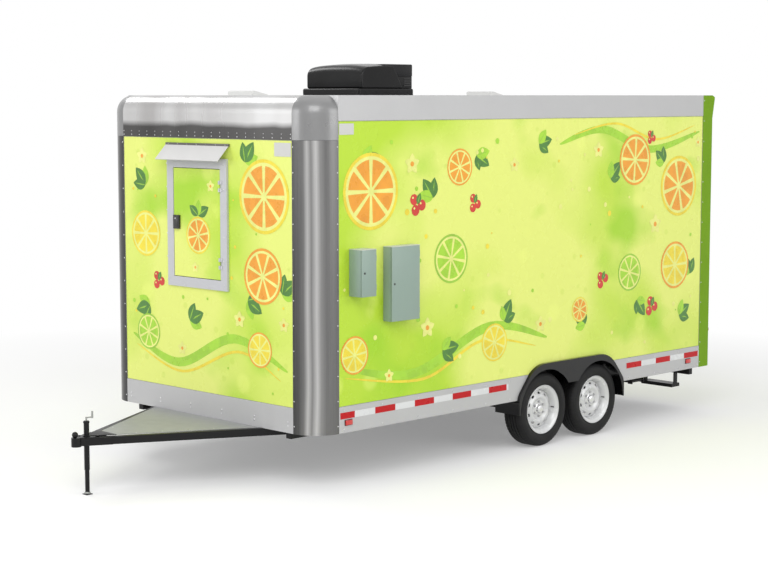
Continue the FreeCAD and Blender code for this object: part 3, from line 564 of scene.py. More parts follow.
def add_turned(mesh, outline, centre, axis, index=0, steps=64, start=None):
    """Spins an outline of (along axis, radius) points about the axis through centre."""
    before = set(mesh.faces)
    centre, axis = Vector(centre), Vector(axis).normalized()
    side = Vector(start) if start else axis.orthogonal().normalized()
    verts = [mesh.verts.new(centre + axis * along + side * radius) for along, radius in outline]
    edges = [mesh.edges.new(pair) for pair in zip(verts, verts[1:])]
    bmesh.ops.spin(mesh, geom=verts + edges, cent=centre, axis=axis, angle=math.tau,
                   steps=steps, use_merge=True, use_duplicate=False)
    bmesh.ops.remove_doubles(mesh, verts=mesh.verts, dist=1e-7)
    paint(mesh, before, index)


def add_plate(mesh, points, offset, index=0):
    """A flat polygon pushed along offset into a thin closed plate."""
    before = set(mesh.faces)
    face = mesh.faces.new([mesh.verts.new(point) for point in points])
    made = bmesh.ops.extrude_face_region(mesh, geom=[face])
    moved = [item for item in made["geom"] if isinstance(item, bmesh.types.BMVert)]
    bmesh.ops.translate(mesh, verts=moved, vec=Vector(offset))
    paint(mesh, before, index)


def on_side(sign, lift=0.0):
    """Places (along +Y, up) points on a side wall; sign +1 is the street side."""
    return lambda u, v: Vector((sign * (WALL_X + lift), u, v))


def on_front(lift=0.0):
    """Places (across +X, up) points on the front wall."""
    return lambda u, v: Vector((u, WALL_Y - lift, v))


def on_rear():
    """Places (across +X, up) points on the rear wall."""
    return lambda u, v: Vector((u, REAR_Y, v))


# ---------------------------------------------------------------- printed motifs
class Print:
    """Thin ink shapes laid on one flat panel, each layer a hair above the one before."""

    INKS = ("ink_orange", "ink_lemon", "ink_lime", "ink_berry", "ink_leaf", "ink_pale",
            "ink_green")

    def __init__(self, place_at, normal, window, holes=()):
        self.mesh = bmesh.new()
        self.place_at = place_at
        self.normal = Vector(normal)
        self.window = window
        self.holes = holes
        self.layer = 0

    def raise_layer(self):
        self.layer += 1

    def shape(self, points, ink):
        """Adds a flat polygon, trimmed to the panel, if it is off every opening."""
        low_u, low_v, high_u, high_v = self.window
        if any(u < low_u or u > high_u or v < low_v or v > high_v for u, v in points):
            points = [(min(max(u, low_u), high_u), min(max(v, low_v), high_v))
                      for u, v in points]
            kept = []
            for point in points:
                if not kept or (abs(point[0] - kept[-1][0]) + abs(point[1] - kept[-1][1])) > 1e-5:
                    kept.append(point)
            points = kept
        if len(points) < 3:
            return
        area = sum(a[0] * b[1] - b[0] * a[1] for a, b in zip(points, points[1:] + points[:1]))
        if abs(area) < 1e-5:
            return
        for low_a, low_b, high_a, high_b in self.holes:
            if any(low_a < u < high_a and low_b < v < high_b for u, v in points):
                return
        lift = self.normal * (PRINT_LIFT + INK_STEP * self.layer)
        verts = [self.mesh.verts.new(self.place_at(u, v) + lift) for u, v in points]
        face = self.mesh.faces.new(verts)
        face.material_index = self.INKS.index(ink)
        face.normal_update()
        if face.normal.dot(self.normal) < 0:
            face.normal_flip()

    def clear(self, u, v, radius):
        """Whether a circle lies wholly on the panel and off every opening."""
        low_u, low_v, high_u, high_v = self.window
        if min(u - low_u, high_u - u, v - low_v, high_v - v) < radius:
            return False
        return all(math.hypot(u - min(max(u, a), c), v - min(max(v, b), d)) >= radius
                   for a, b, c, d in self.holes)

    def disc(self, u, v, radius, ink, sides=28):
        if not self.clear(u, v, radius):
            return
        before = set(self.mesh.faces)
        spot = self.place_at(u, v) + self.normal * (PRINT_LIFT + INK_STEP * self.layer)
        bmesh.ops.create_circle(self.mesh, cap_ends=True, segments=sides, radius=radius,
                                matrix=Matrix.Translation(spot) @ towards(self.normal))
        paint(self.mesh, before, self.INKS.index(ink))

    def leaf(self, u, v, size, turn, ink, width=0.36, steps=10):
        """A pointed oval leaf whose stem end is at (u, v)."""
        points = []
        for k in range(steps + 1):
            t = k / steps
            points.append((t * size, width * size * math.sin(math.pi * t) ** 0.8 * (1 - 0.35 * t)))
        for k in range(steps - 1, 0, -1):
            t = k / steps
            points.append((t * size, -width * size * math.sin(math.pi * t) ** 0.8 * (1 - 0.35 * t)))
        c, s = math.cos(turn), math.sin(turn)
        self.shape([(u + a * c - b * s, v + a * s + b * c) for a, b in points], ink)
        if width > 0.3 and ink != "ink_pale":
            self.layer += 0.15
            self.leaf(u, v, size * 0.86, turn, "ink_lime", 0.045)
            self.layer -= 0.15

    def slice(self, u, v, radius, peel, flesh, turn=0.0, parts=8):
        """A cut citrus wheel: peel, pale pith, and separate segments."""
        if not self.clear(u, v, radius):
            return
        self.disc(u, v, radius, peel, 40)
        self.raise_layer()
        self.disc(u, v, radius * 0.91, "ink_pale", 40)
        self.raise_layer()
        gap = 0.10
        for k in range(parts):
            a = turn + math.tau * (k + gap) / parts
            b = turn + math.tau * (k + 1 - gap) / parts
            points = [(u + radius * 0.10 * math.cos((a + b) / 2),
                       v + radius * 0.10 * math.sin((a + b) / 2))]
            points += [(u + radius * 0.82 * math.cos(a + (b - a) * j / 6),
                        v + radius * 0.82 * math.sin(a + (b - a) * j / 6)) for j in range(7)]
            self.shape(points, flesh)
        self.layer -= 2

    def ribbon(self, points, width, ink):
        """A swash through the points, tapering to both ends."""
        smooth = []
        for k in range(len(points) - 1):
            p0, p1 = points[max(k - 1, 0)], points[k]
            p2, p3 = points[k + 1], points[min(k + 2, len(points) - 1)]
            for step in range(10):
                t = step / 10
                smooth.append(tuple(0.5 * (2 * b + (c - a) * t + (2 * a - 5 * b + 4 * c - d) * t * t
                                           + (3 * b - a - 3 * c + d) * t ** 3)
                                    for a, b, c, d in zip(p0, p1, p2, p3)))
        smooth.append(points[-1])
        count = len(smooth) - 1
        sides = []
        for k, (u, v) in enumerate(smooth):
            before, after = smooth[max(k - 1, 0)], smooth[min(k + 1, count)]
            du, dv = after[0] - before[0], after[1] - before[1]
            size = math.hypot(du, dv) or 1.0
            half = width * (0.15 + 0.85 * math.sin(math.pi * k / count) ** 0.7) / 2
            sides.append(((u - dv / size * half, v + du / size * half),
                          (u + dv / size * half, v - du / size * half)))
        for (a, b), (c, d) in zip(sides, sides[1:]):
            self.shape([a, b, d, c], ink)

    def done(self, name, body="trailer"):
        data = bpy.data.meshes.new(name)
        self.mesh.to_mesh(data)
        self.mesh.free()
        for ink in self.INKS:
            data.materials.append(MATERIALS[ink])
        piece = bpy.data.objects.new(name, data)
        bpy.context.scene.collection.objects.link(piece)
        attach(piece, body)
        return piece


# ---------------------------------------------------------------- carried-over shapes
def refined(node, body, material, width, segments=2):
    """A copy of a CAD node with its edges rounded, which stands for the node."""
    mesh = bmesh.new()
    mesh.from_mesh(NODES[node].data)
    bmesh.ops.remove_doubles(mesh, verts=mesh.verts, dist=1e-5)
    bmesh.ops.dissolve_limit(mesh, angle_limit=math.radians(0.5), verts=mesh.verts,
                             edges=mesh.edges)
    piece = finish_piece(mesh, node + "_finished", [material], body)
    soften(piece, width, segments)
    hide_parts(node)


def slot_of(node):
    """The material slot that the packed frame gives a CAD node."""
    for part in frame["record"]["subparts"]:
        if part["node"] == node:
            return part["material_slot"]
    raise ValueError(node)


# ---------------------------------------------------------------- operators
class TRAILER_OT_finishes(bpy.types.Operator):
    """Build the finishes and give each CAD node its own"""
    bl_idname = "trailer.finishes"
    bl_label = "Finishes"

    def execute(self, context):
        build_materials(context.scene.trailer_colours)
        for node, item in NODES.items():
            finish = MATERIALS[NODE_FINISH.get(node, slot_of(node))]
            item.data.materials.clear()
            item.data.materials.append(finish)
        return {"FINISHED"}


class TRAILER_OT_edges(bpy.types.Operator):
    """Round the sheet-metal and tube edges of the body, chassis and fittings"""
    bl_idname = "trailer.edges"
    bl_label = "Rounded edges"

    # Node, body, finish and the width of the rounded edge.
    ROUNDED = (
        ("lower_rails", "trailer", "rail_grey", 0.003),
        ("top_rails", "trailer", "rail_grey", 0.003),
        ("hatch_frame", "trailer", "hatch_grey", 0.003),
        ("rear_header", "trailer", "post_green", 0.004),
        ("rear_bumper", "trailer", "frame_black", 0.004),
        ("rear_step", "trailer", "frame_black", 0.003),
        ("tongue_rail_street", "trailer", "frame_black", 0.004),
        ("tongue_rail_curb", "trailer", "frame_black", 0.004),
        ("main_rails", "trailer", "frame_black", 0.004),
        ("coupler", "trailer", "frame_black", 0.003),
        ("jack_tube", "trailer", "frame_black", 0.002),
        ("serving_frame", "trailer", "hatch_grey", 0.002),
        ("stabiliser_street", "stabiliser_street_leg", "frame_black", 0.003),
        ("stabiliser_curb", "stabiliser_curb_leg", "frame_black", 0.003),
        ("counter", "trailer", "counter_steel", 0.003),
    )

    def execute(self, context):
        for node, body, material, width in self.ROUNDED:
            refined(node, body, material, width)
        return {"FINISHED"}


class TRAILER_OT_corner_caps(bpy.types.Operator):
    """Corner caps spun from the cornice's section, and plates that close the top rails"""
    bl_idname = "trailer.corner_caps"
    bl_label = "Corner caps"

    def execute(self, context):
        low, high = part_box("cornice_caps")
        bend, inner = 0.140, 0.085
        spring = high.z - bend
        outline = [(low.z + 0.0015, CORNER), (spring, CORNER)]
        outline += [(spring + bend * math.sin(math.radians(7.5 * k)),
                     CORNER - bend + bend * math.cos(math.radians(7.5 * k)))
                    for k in range(1, 13)]
        outline += [(spring + inner * math.sin(math.radians(90 - 15 * k)),
                     CORNER - bend + inner * math.cos(math.radians(90 - 15 * k)))
                    for k in range(7)]
        outline += [(low.z + 0.0015, CORNER - bend + inner)]
        mesh = bmesh.new()
        for sign in (1, -1):
            centre = Vector((sign * FRONT_HALF, FRONT + CORNER, 0))
            verts = [mesh.verts.new(centre + Vector((sign * radius, 0, z)))
                     for z, radius in outline]
            section = mesh.faces.new(verts)
            edges = list(section.edges)
            bmesh.ops.spin(mesh, geom=[section] + edges + verts, cent=centre, axis=(0, 0, 1),
                           angle=-sign * math.pi / 2, steps=24, use_duplicate=False)
        caps = finish_piece(mesh, "corner_caps", ["cap_grey"], angle=30)
        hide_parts("cornice_caps")
        mesh = bmesh.new()
        for sign in (1, -1):
            a, b = sorted((sign * (FRONT_HALF + 0.02), sign * HALF))
            add_box(mesh, (a, SIDE_START - 0.0015, spring - 0.02),
                    (b, SIDE_START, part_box("top_rails")[1].z), 0, 0.0005)
        finish_piece(mesh, "top_rail_ends", ["rail_grey"])
        return {"FINISHED"}


class TRAILER_OT_wheels(bpy.types.Operator):
    """Four tyres with grooved treads on deep-dish wheels"""
    bl_idname = "trailer.wheels"
    bl_label = "Wheels"

    def execute(self, context):
        settings = context.scene.trailer_wheels
        for end in ("front", "rear"):
            for side, sign in (("street", 1), ("curb", -1)):
                self.tyre(end, side, sign, settings)
                self.wheel(end, side, sign, settings)
        return {"FINISHED"}

    def tyre(self, end, side, sign, settings):
        node = f"tyre_{end}_{side}"
        low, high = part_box(node)
        centre = (low + high) / 2
        radius = (high.z - low.z) / 2
        half = (high.x - low.x) / 2
        shoulder = [(half - 0.024, 0.1905), (half - 0.020, 0.206), (half - 0.016, 0.217),
                    (half - 0.007, 0.228), (half - 0.0045, 0.236), (half - 0.0032, 0.2375),
                    (half - 0.0032, 0.2395), (half - 0.0025, 0.2405), (half, 0.262),
                    (half - 0.0015, 0.279), (half - 0.0052, 0.2905), (half - 0.0042, 0.2925),
                    (half - 0.0062, 0.2955), (half - 0.0105, 0.303), (half - 0.0175, 0.313),
                    (half - 0.026, radius - 0.0045), (half - 0.036, radius - 0.002)]
        tread = []
        width, depth = 0.0075, settings.groove_depth
        limit = half - 0.038
        for k in range(settings.grooves):
            at = limit * (1 - 2 * (k + 0.5) / settings.grooves)
            tread += [(at + width / 2 + 0.001, radius), (at + width / 2 - 0.001, radius - depth),
                      (at - width / 2 + 0.001, radius - depth), (at - width / 2 - 0.001, radius)]
        outline = shoulder + tread + [(-a, r) for a, r in reversed(shoulder)]
        mesh = bmesh.new()
        steps = settings.blocks * 3
        add_turned(mesh, outline, centre, (sign, 0, 0), steps=steps, start=(0, 0, -1))
        step = math.tau / steps
        for vert in mesh.verts:
            across = abs(vert.co.x - centre.x)
            y, z = vert.co.y - centre.y, vert.co.z - centre.z
            reach = math.hypot(y, z)
            turn = int(round((math.atan2(z, y) + math.pi / 2) / step)) % 3
            if turn == 0 and half - 0.040 < across < half - 0.012 and reach > 0.300:
                factor = (reach - 0.0045) / reach
                vert.co.y, vert.co.z = centre.y + y * factor, centre.z + z * factor
        piece = finish_piece(mesh, node + "_moulded", ["tyre"], f"wheel_{end}_{side}", angle=30)
        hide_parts(node)

    def wheel(self, end, side, sign, settings):
        node = f"rim_{end}_{side}"
        body = f"wheel_{end}_{side}"
        tyre_low, tyre_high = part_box(f"tyre_{end}_{side}")
        centre = (tyre_low + tyre_high) / 2
        half = (tyre_high.x - tyre_low.x) / 2
        bead = half - 0.024
        axis = Vector((sign, 0, 0))
        disc = bead - 0.050
        # Rim barrel with rolled lips on both sides.
        lip = [(disc + 0.002, 0.1655), (bead - 0.030, 0.1695), (bead - 0.012, 0.178),
               (bead - 0.002, 0.184), (bead + 0.004, 0.193), (bead + 0.007, 0.2045),
               (bead + 0.010, 0.2075), (bead + 0.0135, 0.2085), (bead + 0.015, 0.2115),
               (bead + 0.0135, 0.2138), (bead + 0.0085, 0.2138), (bead + 0.0065, 0.211),
               (bead + 0.002, 0.1902), (bead - 0.013, 0.1900), (bead - 0.040, 0.1745)]
        back = [(-a, r) for a, r in reversed(lip)]
        barrel = bmesh.new()
        add_turned(barrel, lip + back + [lip[0]], centre, axis, steps=96)
        rim = finish_piece(barrel, node + "_barrel", ["rim_white"], body, angle=40)
        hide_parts(node)
        # Pressed disc with hand holes around it and a raised ring where the nuts seat.
        rows = [(disc - 0.004, 0.1662), (disc + 0.0025, 0.163), (disc + 0.0055, 0.157),
                (disc + 0.0085, 0.150), (disc + 0.0115, 0.144), (disc + 0.0145, 0.138),
                (disc + 0.0175, 0.132), (disc + 0.0205, 0.126), (disc + 0.0235, 0.120),
                (disc + 0.0255, 0.114), (disc + 0.0262, 0.106), (disc + 0.0250, 0.100),
                (disc + 0.0190, 0.092), (disc + 0.0135, 0.085), (disc + 0.0100, 0.079),
                (disc + 0.0090, 0.072), (disc + 0.0090, 0.052), (disc + 0.0100, 0.047),
                (disc + 0.0125, 0.044)]
        mesh = bmesh.new()
        windows = settings.windows
        steps = windows * 10
        add_turned(mesh, rows, centre, axis, steps=steps, start=(0, 0, 1))
        step = math.tau / steps

        def polar(point):
            y, z = point.y - centre.y, point.z - centre.z
            return math.hypot(y, z), math.atan2(y, z) / step

        low_r, high_r, reach = 0.131, 0.151, 2
        doomed = []
        for face in mesh.faces:
            radius, turn = polar(face.calc_center_median())
            offset = (turn + 5.0) % 10.0 - 5.0
            if low_r < radius < high_r and abs(offset) < reach:
                doomed.append(face)
        bmesh.ops.delete(mesh, geom=doomed, context="FACES")
        mid_r, half_r = 0.141, 0.0095
        for vert in mesh.verts:
            if not any(edge.is_boundary for edge in vert.link_edges):
                continue
            radius, turn = polar(vert.co)
            offset = (turn + 5.0) % 10.0 - 5.0
            if abs(offset) > reach + 0.1 or not 0.129 < radius < 0.153:
                continue
            a, b = offset / reach, (radius - mid_r) / 0.009
            angle = math.atan2(b, a)
            new_turn = (turn - offset + reach * 0.93 * math.cos(angle)) * step
            new_r = mid_r + half_r * math.sin(angle)
            vert.co.y = centre.y + new_r * math.sin(new_turn)
            vert.co.z = centre.z + new_r * math.cos(new_turn)
        face_piece = finish_piece(mesh, node + "_disc", ["rim_white"], body, angle=50)
        skin = face_piece.modifiers.new("Sheet", "SOLIDIFY")
        skin.thickness = 0.004
        skin.offset = -1.0
        # Hub cap, nuts and the dark brake drum behind the disc.
        mesh = bmesh.new()
        cap = [(disc - 0.002, 0.0455), (disc + 0.012, 0.0455), (disc + 0.014, 0.043),
               (disc + 0.015, 0.038), (disc + 0.030, 0.0365), (disc + 0.036, 0.034),
               (disc + 0.040, 0.0285), (disc + 0.0415, 0.020), (disc + 0.0418, 0.010),
               (disc + 0.0418, 0.0005)]
        add_turned(mesh, cap, centre, axis, 1, steps=48)
        for k in range(settings.nuts):
            angle = math.tau * (k + 0.5) / settings.nuts
            spot = centre + axis * (disc + 0.007) + Vector((0, math.cos(angle),
                                                            math.sin(angle))) * 0.0635
            add_rod(mesh, spot, spot + axis * 0.004, 0.0125, 0, 20, 0.0105)
            add_rod(mesh, spot + axis * 0.003, spot + axis * 0.0175, 0.0098, 0, 6)
            add_rod(mesh, spot + axis * 0.0175, spot + axis * 0.0215, 0.0082, 0, 12, 0.0045)
        drum = [(disc - 0.012, 0.001), (disc - 0.012, 0.100), (disc - 0.020, 0.103),
                (disc - 0.080, 0.103), (disc - 0.080, 0.030)]
        add_turned(mesh, drum, centre, axis, 2, steps=64)
        valve = centre + axis * (bead - 0.034) + Vector((0, 0.162, 0))
        add_rod(mesh, valve, valve + axis * 0.028 + Vector((0, -0.004, 0)), 0.0042, 2, 12)
        add_rod(mesh, valve + axis * 0.028 + Vector((0, -0.004, 0)),
                valve + axis * 0.036 + Vector((0, -0.0055, 0)), 0.0050, 2, 12)
        finish_piece(mesh, node + "_hub", ["zinc_nut", "chrome_cap", "seal_black"], body,
                     angle=35)


class TRAILER_OT_tape(bpy.types.Operator):
    """Red and white reflective tape and the small marker lights on the side rails"""
    bl_idname = "trailer.tape"
    bl_label = "Reflective tape"

    def execute(self, context):
        settings = context.scene.trailer_tape
        low = BASE + settings.low
        for sign, side in ((1, "street"), (-1, "curb")):
            mesh = bmesh.new()
            for first, last, begin in ((0.262, 2.24, 0.1915), (3.882, 5.026, 3.8895)):
                cursor = begin
                while cursor < last:
                    for span, index in (((cursor, cursor + settings.dash), 0),
                                        ((cursor + settings.dash, cursor + settings.pitch), 1)):
                        a, b = max(span[0], first), min(span[1], last)
                        if b - a > 0.01:
                            x, top = sign * (HALF + 0.0002), low + settings.width
                            corners = [(x, FRONT + y, z) for y, z in
                                       ((a, low), (b, low), (b, top), (a, top))]
                            add_plate(mesh, corners, (sign * 0.0005, 0, 0), index)
                    cursor += settings.pitch
            finish_piece(mesh, f"tape_{side}", ["tape_red", "tape_white"], smooth=False)
            mesh = bmesh.new()
            for a, b in ((0.312, 0.387), (4.812, 4.889)):
                z = low - 0.053
                for proud, rim, below, above, index, bevel in (
                        (0.003, 0.004, -0.002, 0.046, 1, 0.001),
                        (0.012, 0.0, 0.002, 0.042, 0, 0.004)):
                    inner, outer = sorted((sign * HALF, sign * (HALF + proud)))
                    add_box(mesh, (inner, FRONT + a - rim, z + below),
                            (outer, FRONT + b + rim, z + above), index, bevel)
            finish_piece(mesh, f"marker_lights_{side}", ["marker_red", "seal_black"])
        return {"FINISHED"}


class TRAILER_OT_fasteners(bpy.types.Operator):
    """Rivets on the corner posts, screws on the cornice and bolts on the skirting rails"""
    bl_idname = "trailer.fasteners"
    bl_label = "Fasteners"

    def execute(self, context):
        settings = context.scene.trailer_fasteners
        for sign, side in ((1, "street"), (-1, "curb")):
            mesh = bmesh.new()
            middle = Vector((sign * FRONT_HALF, FRONT + CORNER, 0))
            low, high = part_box("front_posts")[0].z + 0.06, CORNICE - 0.05
            count = int((high - low) / settings.rivet_pitch) + 1
            edge = settings.rivet_inset / CORNER
            for k in range(count):
                z = low + (high - low) * k / (count - 1)
                for turn in (edge, math.pi / 2 - edge):
                    normal = Vector((sign * math.cos(turn), -math.sin(turn), 0))
                    add_head(mesh, middle + normal * CORNER + Vector((0, 0, z)), normal,
                             settings.rivet, 0.0035)
            post_low, post_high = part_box("rear_posts")
            for k in range(14):
                z = post_low.z + 0.05 + (post_high.z - post_low.z - 0.1) * k / 13
                add_head(mesh, (sign * HALF, SIDE_END + 0.014, z), (sign, 0, 0),
                         settings.rivet, 0.003)
            finish_piece(mesh, f"post_rivets_{side}", ["screw_head"])

        mesh = bmesh.new()
        count = int(2 * FRONT_HALF / settings.screw_pitch)
        for row, z in enumerate((CORNICE + 0.016, CORNICE + 0.046)):
            for k in range(count + 1):
                x = -FRONT_HALF + 0.012 + (2 * FRONT_HALF - 0.024) * k / count
                add_head(mesh, (x, FRONT, z), (0, -1, 0), settings.screw * (0.72 - 0.1 * row),
                         0.003)
        finish_piece(mesh, "cornice_screws", ["screw_head"])

        mesh = bmesh.new()
        top, low = RAIL_TOP - 0.028, BASE + 0.026
        spots = [0.30, 0.72, 1.13, 1.54, 1.95, 2.26, 3.92, 4.32, 4.70, 5.00]
        for sign in (1, -1):
            for y in spots:
                for z in (top, low):
                    add_head(mesh, (sign * HALF, FRONT + y, z), (sign, 0, 0), settings.bolt,
                             0.004)
        for k in range(6):
            x = -FRONT_HALF + 0.06 + (2 * FRONT_HALF - 0.12) * k / 5
            for z in (BASE + 0.055, BASE + 0.085):
                add_head(mesh, (x, FRONT, z), (0, -1, 0), settings.bolt, 0.004)
        finish_piece(mesh, "rail_bolts", ["screw_head"])
        return {"FINISHED"}


class TRAILER_OT_prints(bpy.types.Operator):
    """Generic fruit, blossom and ribbon motifs printed on the walls"""
    bl_idname = "trailer.prints"
    bl_label = "Printed motifs"

    def side(self, sign, seed, holes):
        chance = random.Random(seed)
        start, end = SIDE_START - FRONT + 0.01, SIDE_END - FRONT - 0.01
        window = (FRONT + start, RAIL_TOP + 0.006, FRONT + end, TOP_RAIL - 0.006)
        art = Print(on_side(sign), (sign, 0, 0), window, holes)
        def y(value):
            return FRONT + value

        # Broad ribbons first, then leaves, then the fruit that lies over them.
        art.ribbon([(y(0.30), 0.95), (y(1.1), 0.83), (y(2.0), 1.12), (y(2.75), 0.96)], 0.085,
                   "ink_green")
        art.ribbon([(y(2.9), 2.62), (y(3.5), 2.74), (y(4.2), 2.55), (y(4.98), 2.70)], 0.075,
                   "ink_green")
        art.raise_layer()
        art.ribbon([(y(0.32), 0.87), (y(1.2), 0.77), (y(1.9), 1.01), (y(2.6), 0.90)], 0.026,
                   "ink_lemon")
        art.ribbon([(y(3.1), 2.70), (y(3.7), 2.79), (y(4.3), 2.64), (y(4.9), 2.76)], 0.022,
                   "ink_lemon")
        art.raise_layer()
        sprigs = [(0.52, 2.52, 0.3), (1.30, 2.22, 2.2), (1.82, 2.55, -0.5), (2.18, 1.15, 1.1),
                  (2.62, 2.63, 0.2), (3.28, 1.02, 2.6), (3.62, 2.30, 0.8), (4.04, 1.18, -0.9),
                  (4.42, 2.42, 2.4), (4.86, 1.36, 1.9), (1.42, 0.98, 0.1), (4.70, 0.98, 0.5)]
        for u, v, turn in sprigs:
            for k, spread in enumerate((-0.75, 0.0, 0.7)):
                art.layer += 0.3
                art.leaf(y(u), v, 0.15 + 0.035 * (k == 1) + chance.uniform(-0.02, 0.02),
                         turn + spread, "ink_leaf" if k != 2 else "ink_green")
            art.layer -= 0.9
        art.layer += 3
        fruit = [(0.60, 2.30, 0.30, "ink_lemon", "ink_orange"),
                 (1.62, 2.46, 0.15, "ink_orange", "ink_orange"),
                 (1.52, 1.72, 0.20, "ink_lime", "ink_green"),
                 (0.42, 1.04, 0.15, "ink_orange", "ink_lemon"),
                 (2.06, 0.98, 0.16, "ink_lemon", "ink_lemon"),
                 (3.98, 2.46, 0.23, "ink_orange", "ink_orange"),
                 (4.66, 2.20, 0.28, "ink_lemon", "ink_orange"),
                 (3.92, 1.44, 0.17, "ink_lime", "ink_green"),
                 (4.62, 1.46, 0.22, "ink_orange", "ink_lemon"),
                 (3.20, 1.16, 0.11, "ink_lemon", "ink_orange")]
        for k, (u, v, radius, peel, flesh) in enumerate(fruit):
            art.slice(y(u), v, radius, peel, flesh, 0.3 * k)
        for u, v, size in ((1.06, 2.50, 0.085), (2.30, 2.46, 0.065), (3.44, 2.56, 0.075),
                           (4.30, 1.86, 0.095), (2.66, 1.08, 0.075), (1.24, 1.18, 0.085),
                           (4.96, 2.60, 0.055), (0.80, 0.84, 0.055)):
            self.blossom(art, y(u), v, size)
        for u, v, size in ((1.12, 2.18, 0.085), (3.52, 1.40, 0.075), (4.26, 1.10, 0.085),
                           (1.80, 2.16, 0.070), (4.22, 2.66, 0.060)):
            self.berries(art, y(u), v, size, chance)
        for _ in range(70):
            u, v = chance.uniform(start + 0.05, end - 0.05), chance.uniform(0.75, 2.74)
            if any(math.hypot(u - a, v - b) < r + 0.07 for a, b, r, *_ in fruit):
                continue
            art.disc(y(u), v, chance.uniform(0.008, 0.026),
                     chance.choice(("ink_lemon", "ink_pale", "ink_green")), 14)
        side = "street" if sign > 0 else "curb"
        art.done(f"print_{side}")

    def blossom(self, art, u, v, size):
        for k in range(5):
            art.layer += 0.3
            art.leaf(u, v, size, math.tau * k / 5 + 0.3, "ink_pale", 0.42)
        art.layer += 0.5
        art.disc(u, v, size * 0.24, "ink_orange", 16)
        art.layer -= 2

    def berries(self, art, u, v, size, chance):
        for k in range(3):
            turn = math.tau * k / 3 + chance.uniform(-0.3, 0.3)
            a, b = u + size * 0.62 * math.cos(turn), v + size * 0.62 * math.sin(turn)
            art.layer += 0.6
            art.disc(a, b, size * 0.52, "ink_berry", 24)
            art.layer += 0.3
            art.disc(a - size * 0.16, b + size * 0.18, size * 0.11, "ink_pale", 12)
            art.layer -= 0.3
        art.layer += 0.6
        art.leaf(u, v, size * 1.1, 1.2, "ink_leaf")
        art.layer -= 2.4

    def execute(self, context):
        self.side(1, 5, self.around("service_boxes"))
        low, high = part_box("serving_frame")
        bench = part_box("shelf_hinges")
        window = [(low.y - 0.01, low.z - 0.01, high.y + 0.01, high.z + 0.01),
                  (bench[0].y - 0.05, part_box("serving_shelf")[0].z - 0.02, bench[1].y + 0.05,
                   low.z + 0.02)]
        self.side(-1, 9, window)
        self.front()
        self.hatch()
        self.rear()
        self.moving("print_door", "entry_door", (0, 1, 0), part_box("door_handle")[0].y, 0,
                    (0.47, 0.95, 1.08, 2.28), ((0.86, 1.98, 0.15), (0.68, 1.28, 0.11)))
        self.moving("print_awning", "awning", (-1, 0, 0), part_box("awning")[1].x - AWNING_SHEET, 1,
                    (-0.25, 1.56, 1.54, 2.36), ((0.02, 2.12, 0.17), (1.28, 1.78, 0.14)))
        return {"FINISHED"}

    def around(self, node):
        low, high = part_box(node)
        return [(low.y - 0.01, low.z - 0.01, high.y + 0.01, high.z + 0.01)]

    def front(self):
        low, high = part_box("hatch_frame")
        window = (-FRONT_HALF + 0.01, RAIL_TOP + 0.006, FRONT_HALF - 0.01, CORNICE - 0.006)
        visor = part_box("hatch_visor")
        art = Print(on_front(), (0, -1, 0), window,
                    [(low.x - 0.01, low.z - 0.01, high.x + 0.01, high.z + 0.01),
                     (visor[0].x - 0.01, high.z - 0.02, visor[1].x + 0.01, visor[1].z + 0.01)])
        art.ribbon([(-0.95, 1.05), (-0.35, 0.86), (0.35, 1.12), (0.98, 0.92)], 0.08, "ink_green")
        art.raise_layer()
        art.ribbon([(-0.9, 0.96), (-0.3, 0.79), (0.4, 1.02), (0.9, 0.84)], 0.024, "ink_lemon")
        art.raise_layer()
        for u, v, turn in ((0.50, 2.52, 1.0), (0.52, 1.44, -0.5), (-0.76, 2.30, 2.3),
                           (-0.72, 1.30, 3.4), (0.92, 1.52, 0.6), (-0.2, 1.22, 0.4)):
            for k, spread in enumerate((-0.7, 0.0, 0.75)):
                art.layer += 0.3
                art.leaf(u, v, 0.16 + 0.03 * (k == 1), turn + spread,
                         "ink_leaf" if k else "ink_green")
            art.layer -= 0.9
        art.layer += 3
        for k, (u, v, radius, peel, flesh) in enumerate((
                (0.72, 2.26, 0.29, "ink_lemon", "ink_orange"),
                (0.70, 1.64, 0.22, "ink_orange", "ink_orange"),
                (-0.76, 1.90, 0.19, "ink_lemon", "ink_lemon"),
                (-0.74, 1.08, 0.15, "ink_lime", "ink_green"),
                (0.66, 1.06, 0.14, "ink_orange", "ink_lemon"))):
            art.slice(u, v, radius, peel, flesh, 0.4 * k)
        for u, v, size in ((0.42, 1.28, 0.07), (-0.80, 2.54, 0.07), (0.94, 1.28, 0.06),
                           (-0.30, 0.98, 0.06)):
            self.blossom(art, u, v, size)
        self.berries(art, -0.60, 1.52, 0.07, random.Random(3))
        chance = random.Random(12)
        for _ in range(26):
            art.disc(chance.uniform(-0.98, 0.98), chance.uniform(0.72, 2.6),
                     chance.uniform(0.007, 0.02), chance.choice(("ink_lemon", "ink_green")), 14)
        art.done("print_front")

    def hatch(self):
        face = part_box("hatch_latch")[1].y
        lid = Print(lambda u, v: Vector((u, face, v)), (0, -1, 0),
                    (-0.36, 1.59, 0.205, 2.445))
        for size, turn, ink in ((0.15, 0.5, "ink_leaf"), (0.13, 1.5, "ink_green"),
                                (0.13, 2.5, "ink_leaf")):
            lid.layer += 0.3
            lid.leaf(-0.06, 2.08, size, turn, ink)
        lid.layer += 1.5
        lid.slice(-0.06, 1.92, 0.15, "ink_lemon", "ink_orange", 0.2)
        self.blossom(lid, 0.10, 2.32, 0.05)
        self.blossom(lid, -0.10, 1.66, 0.045)
        lid.done("print_hatch", "hatch")

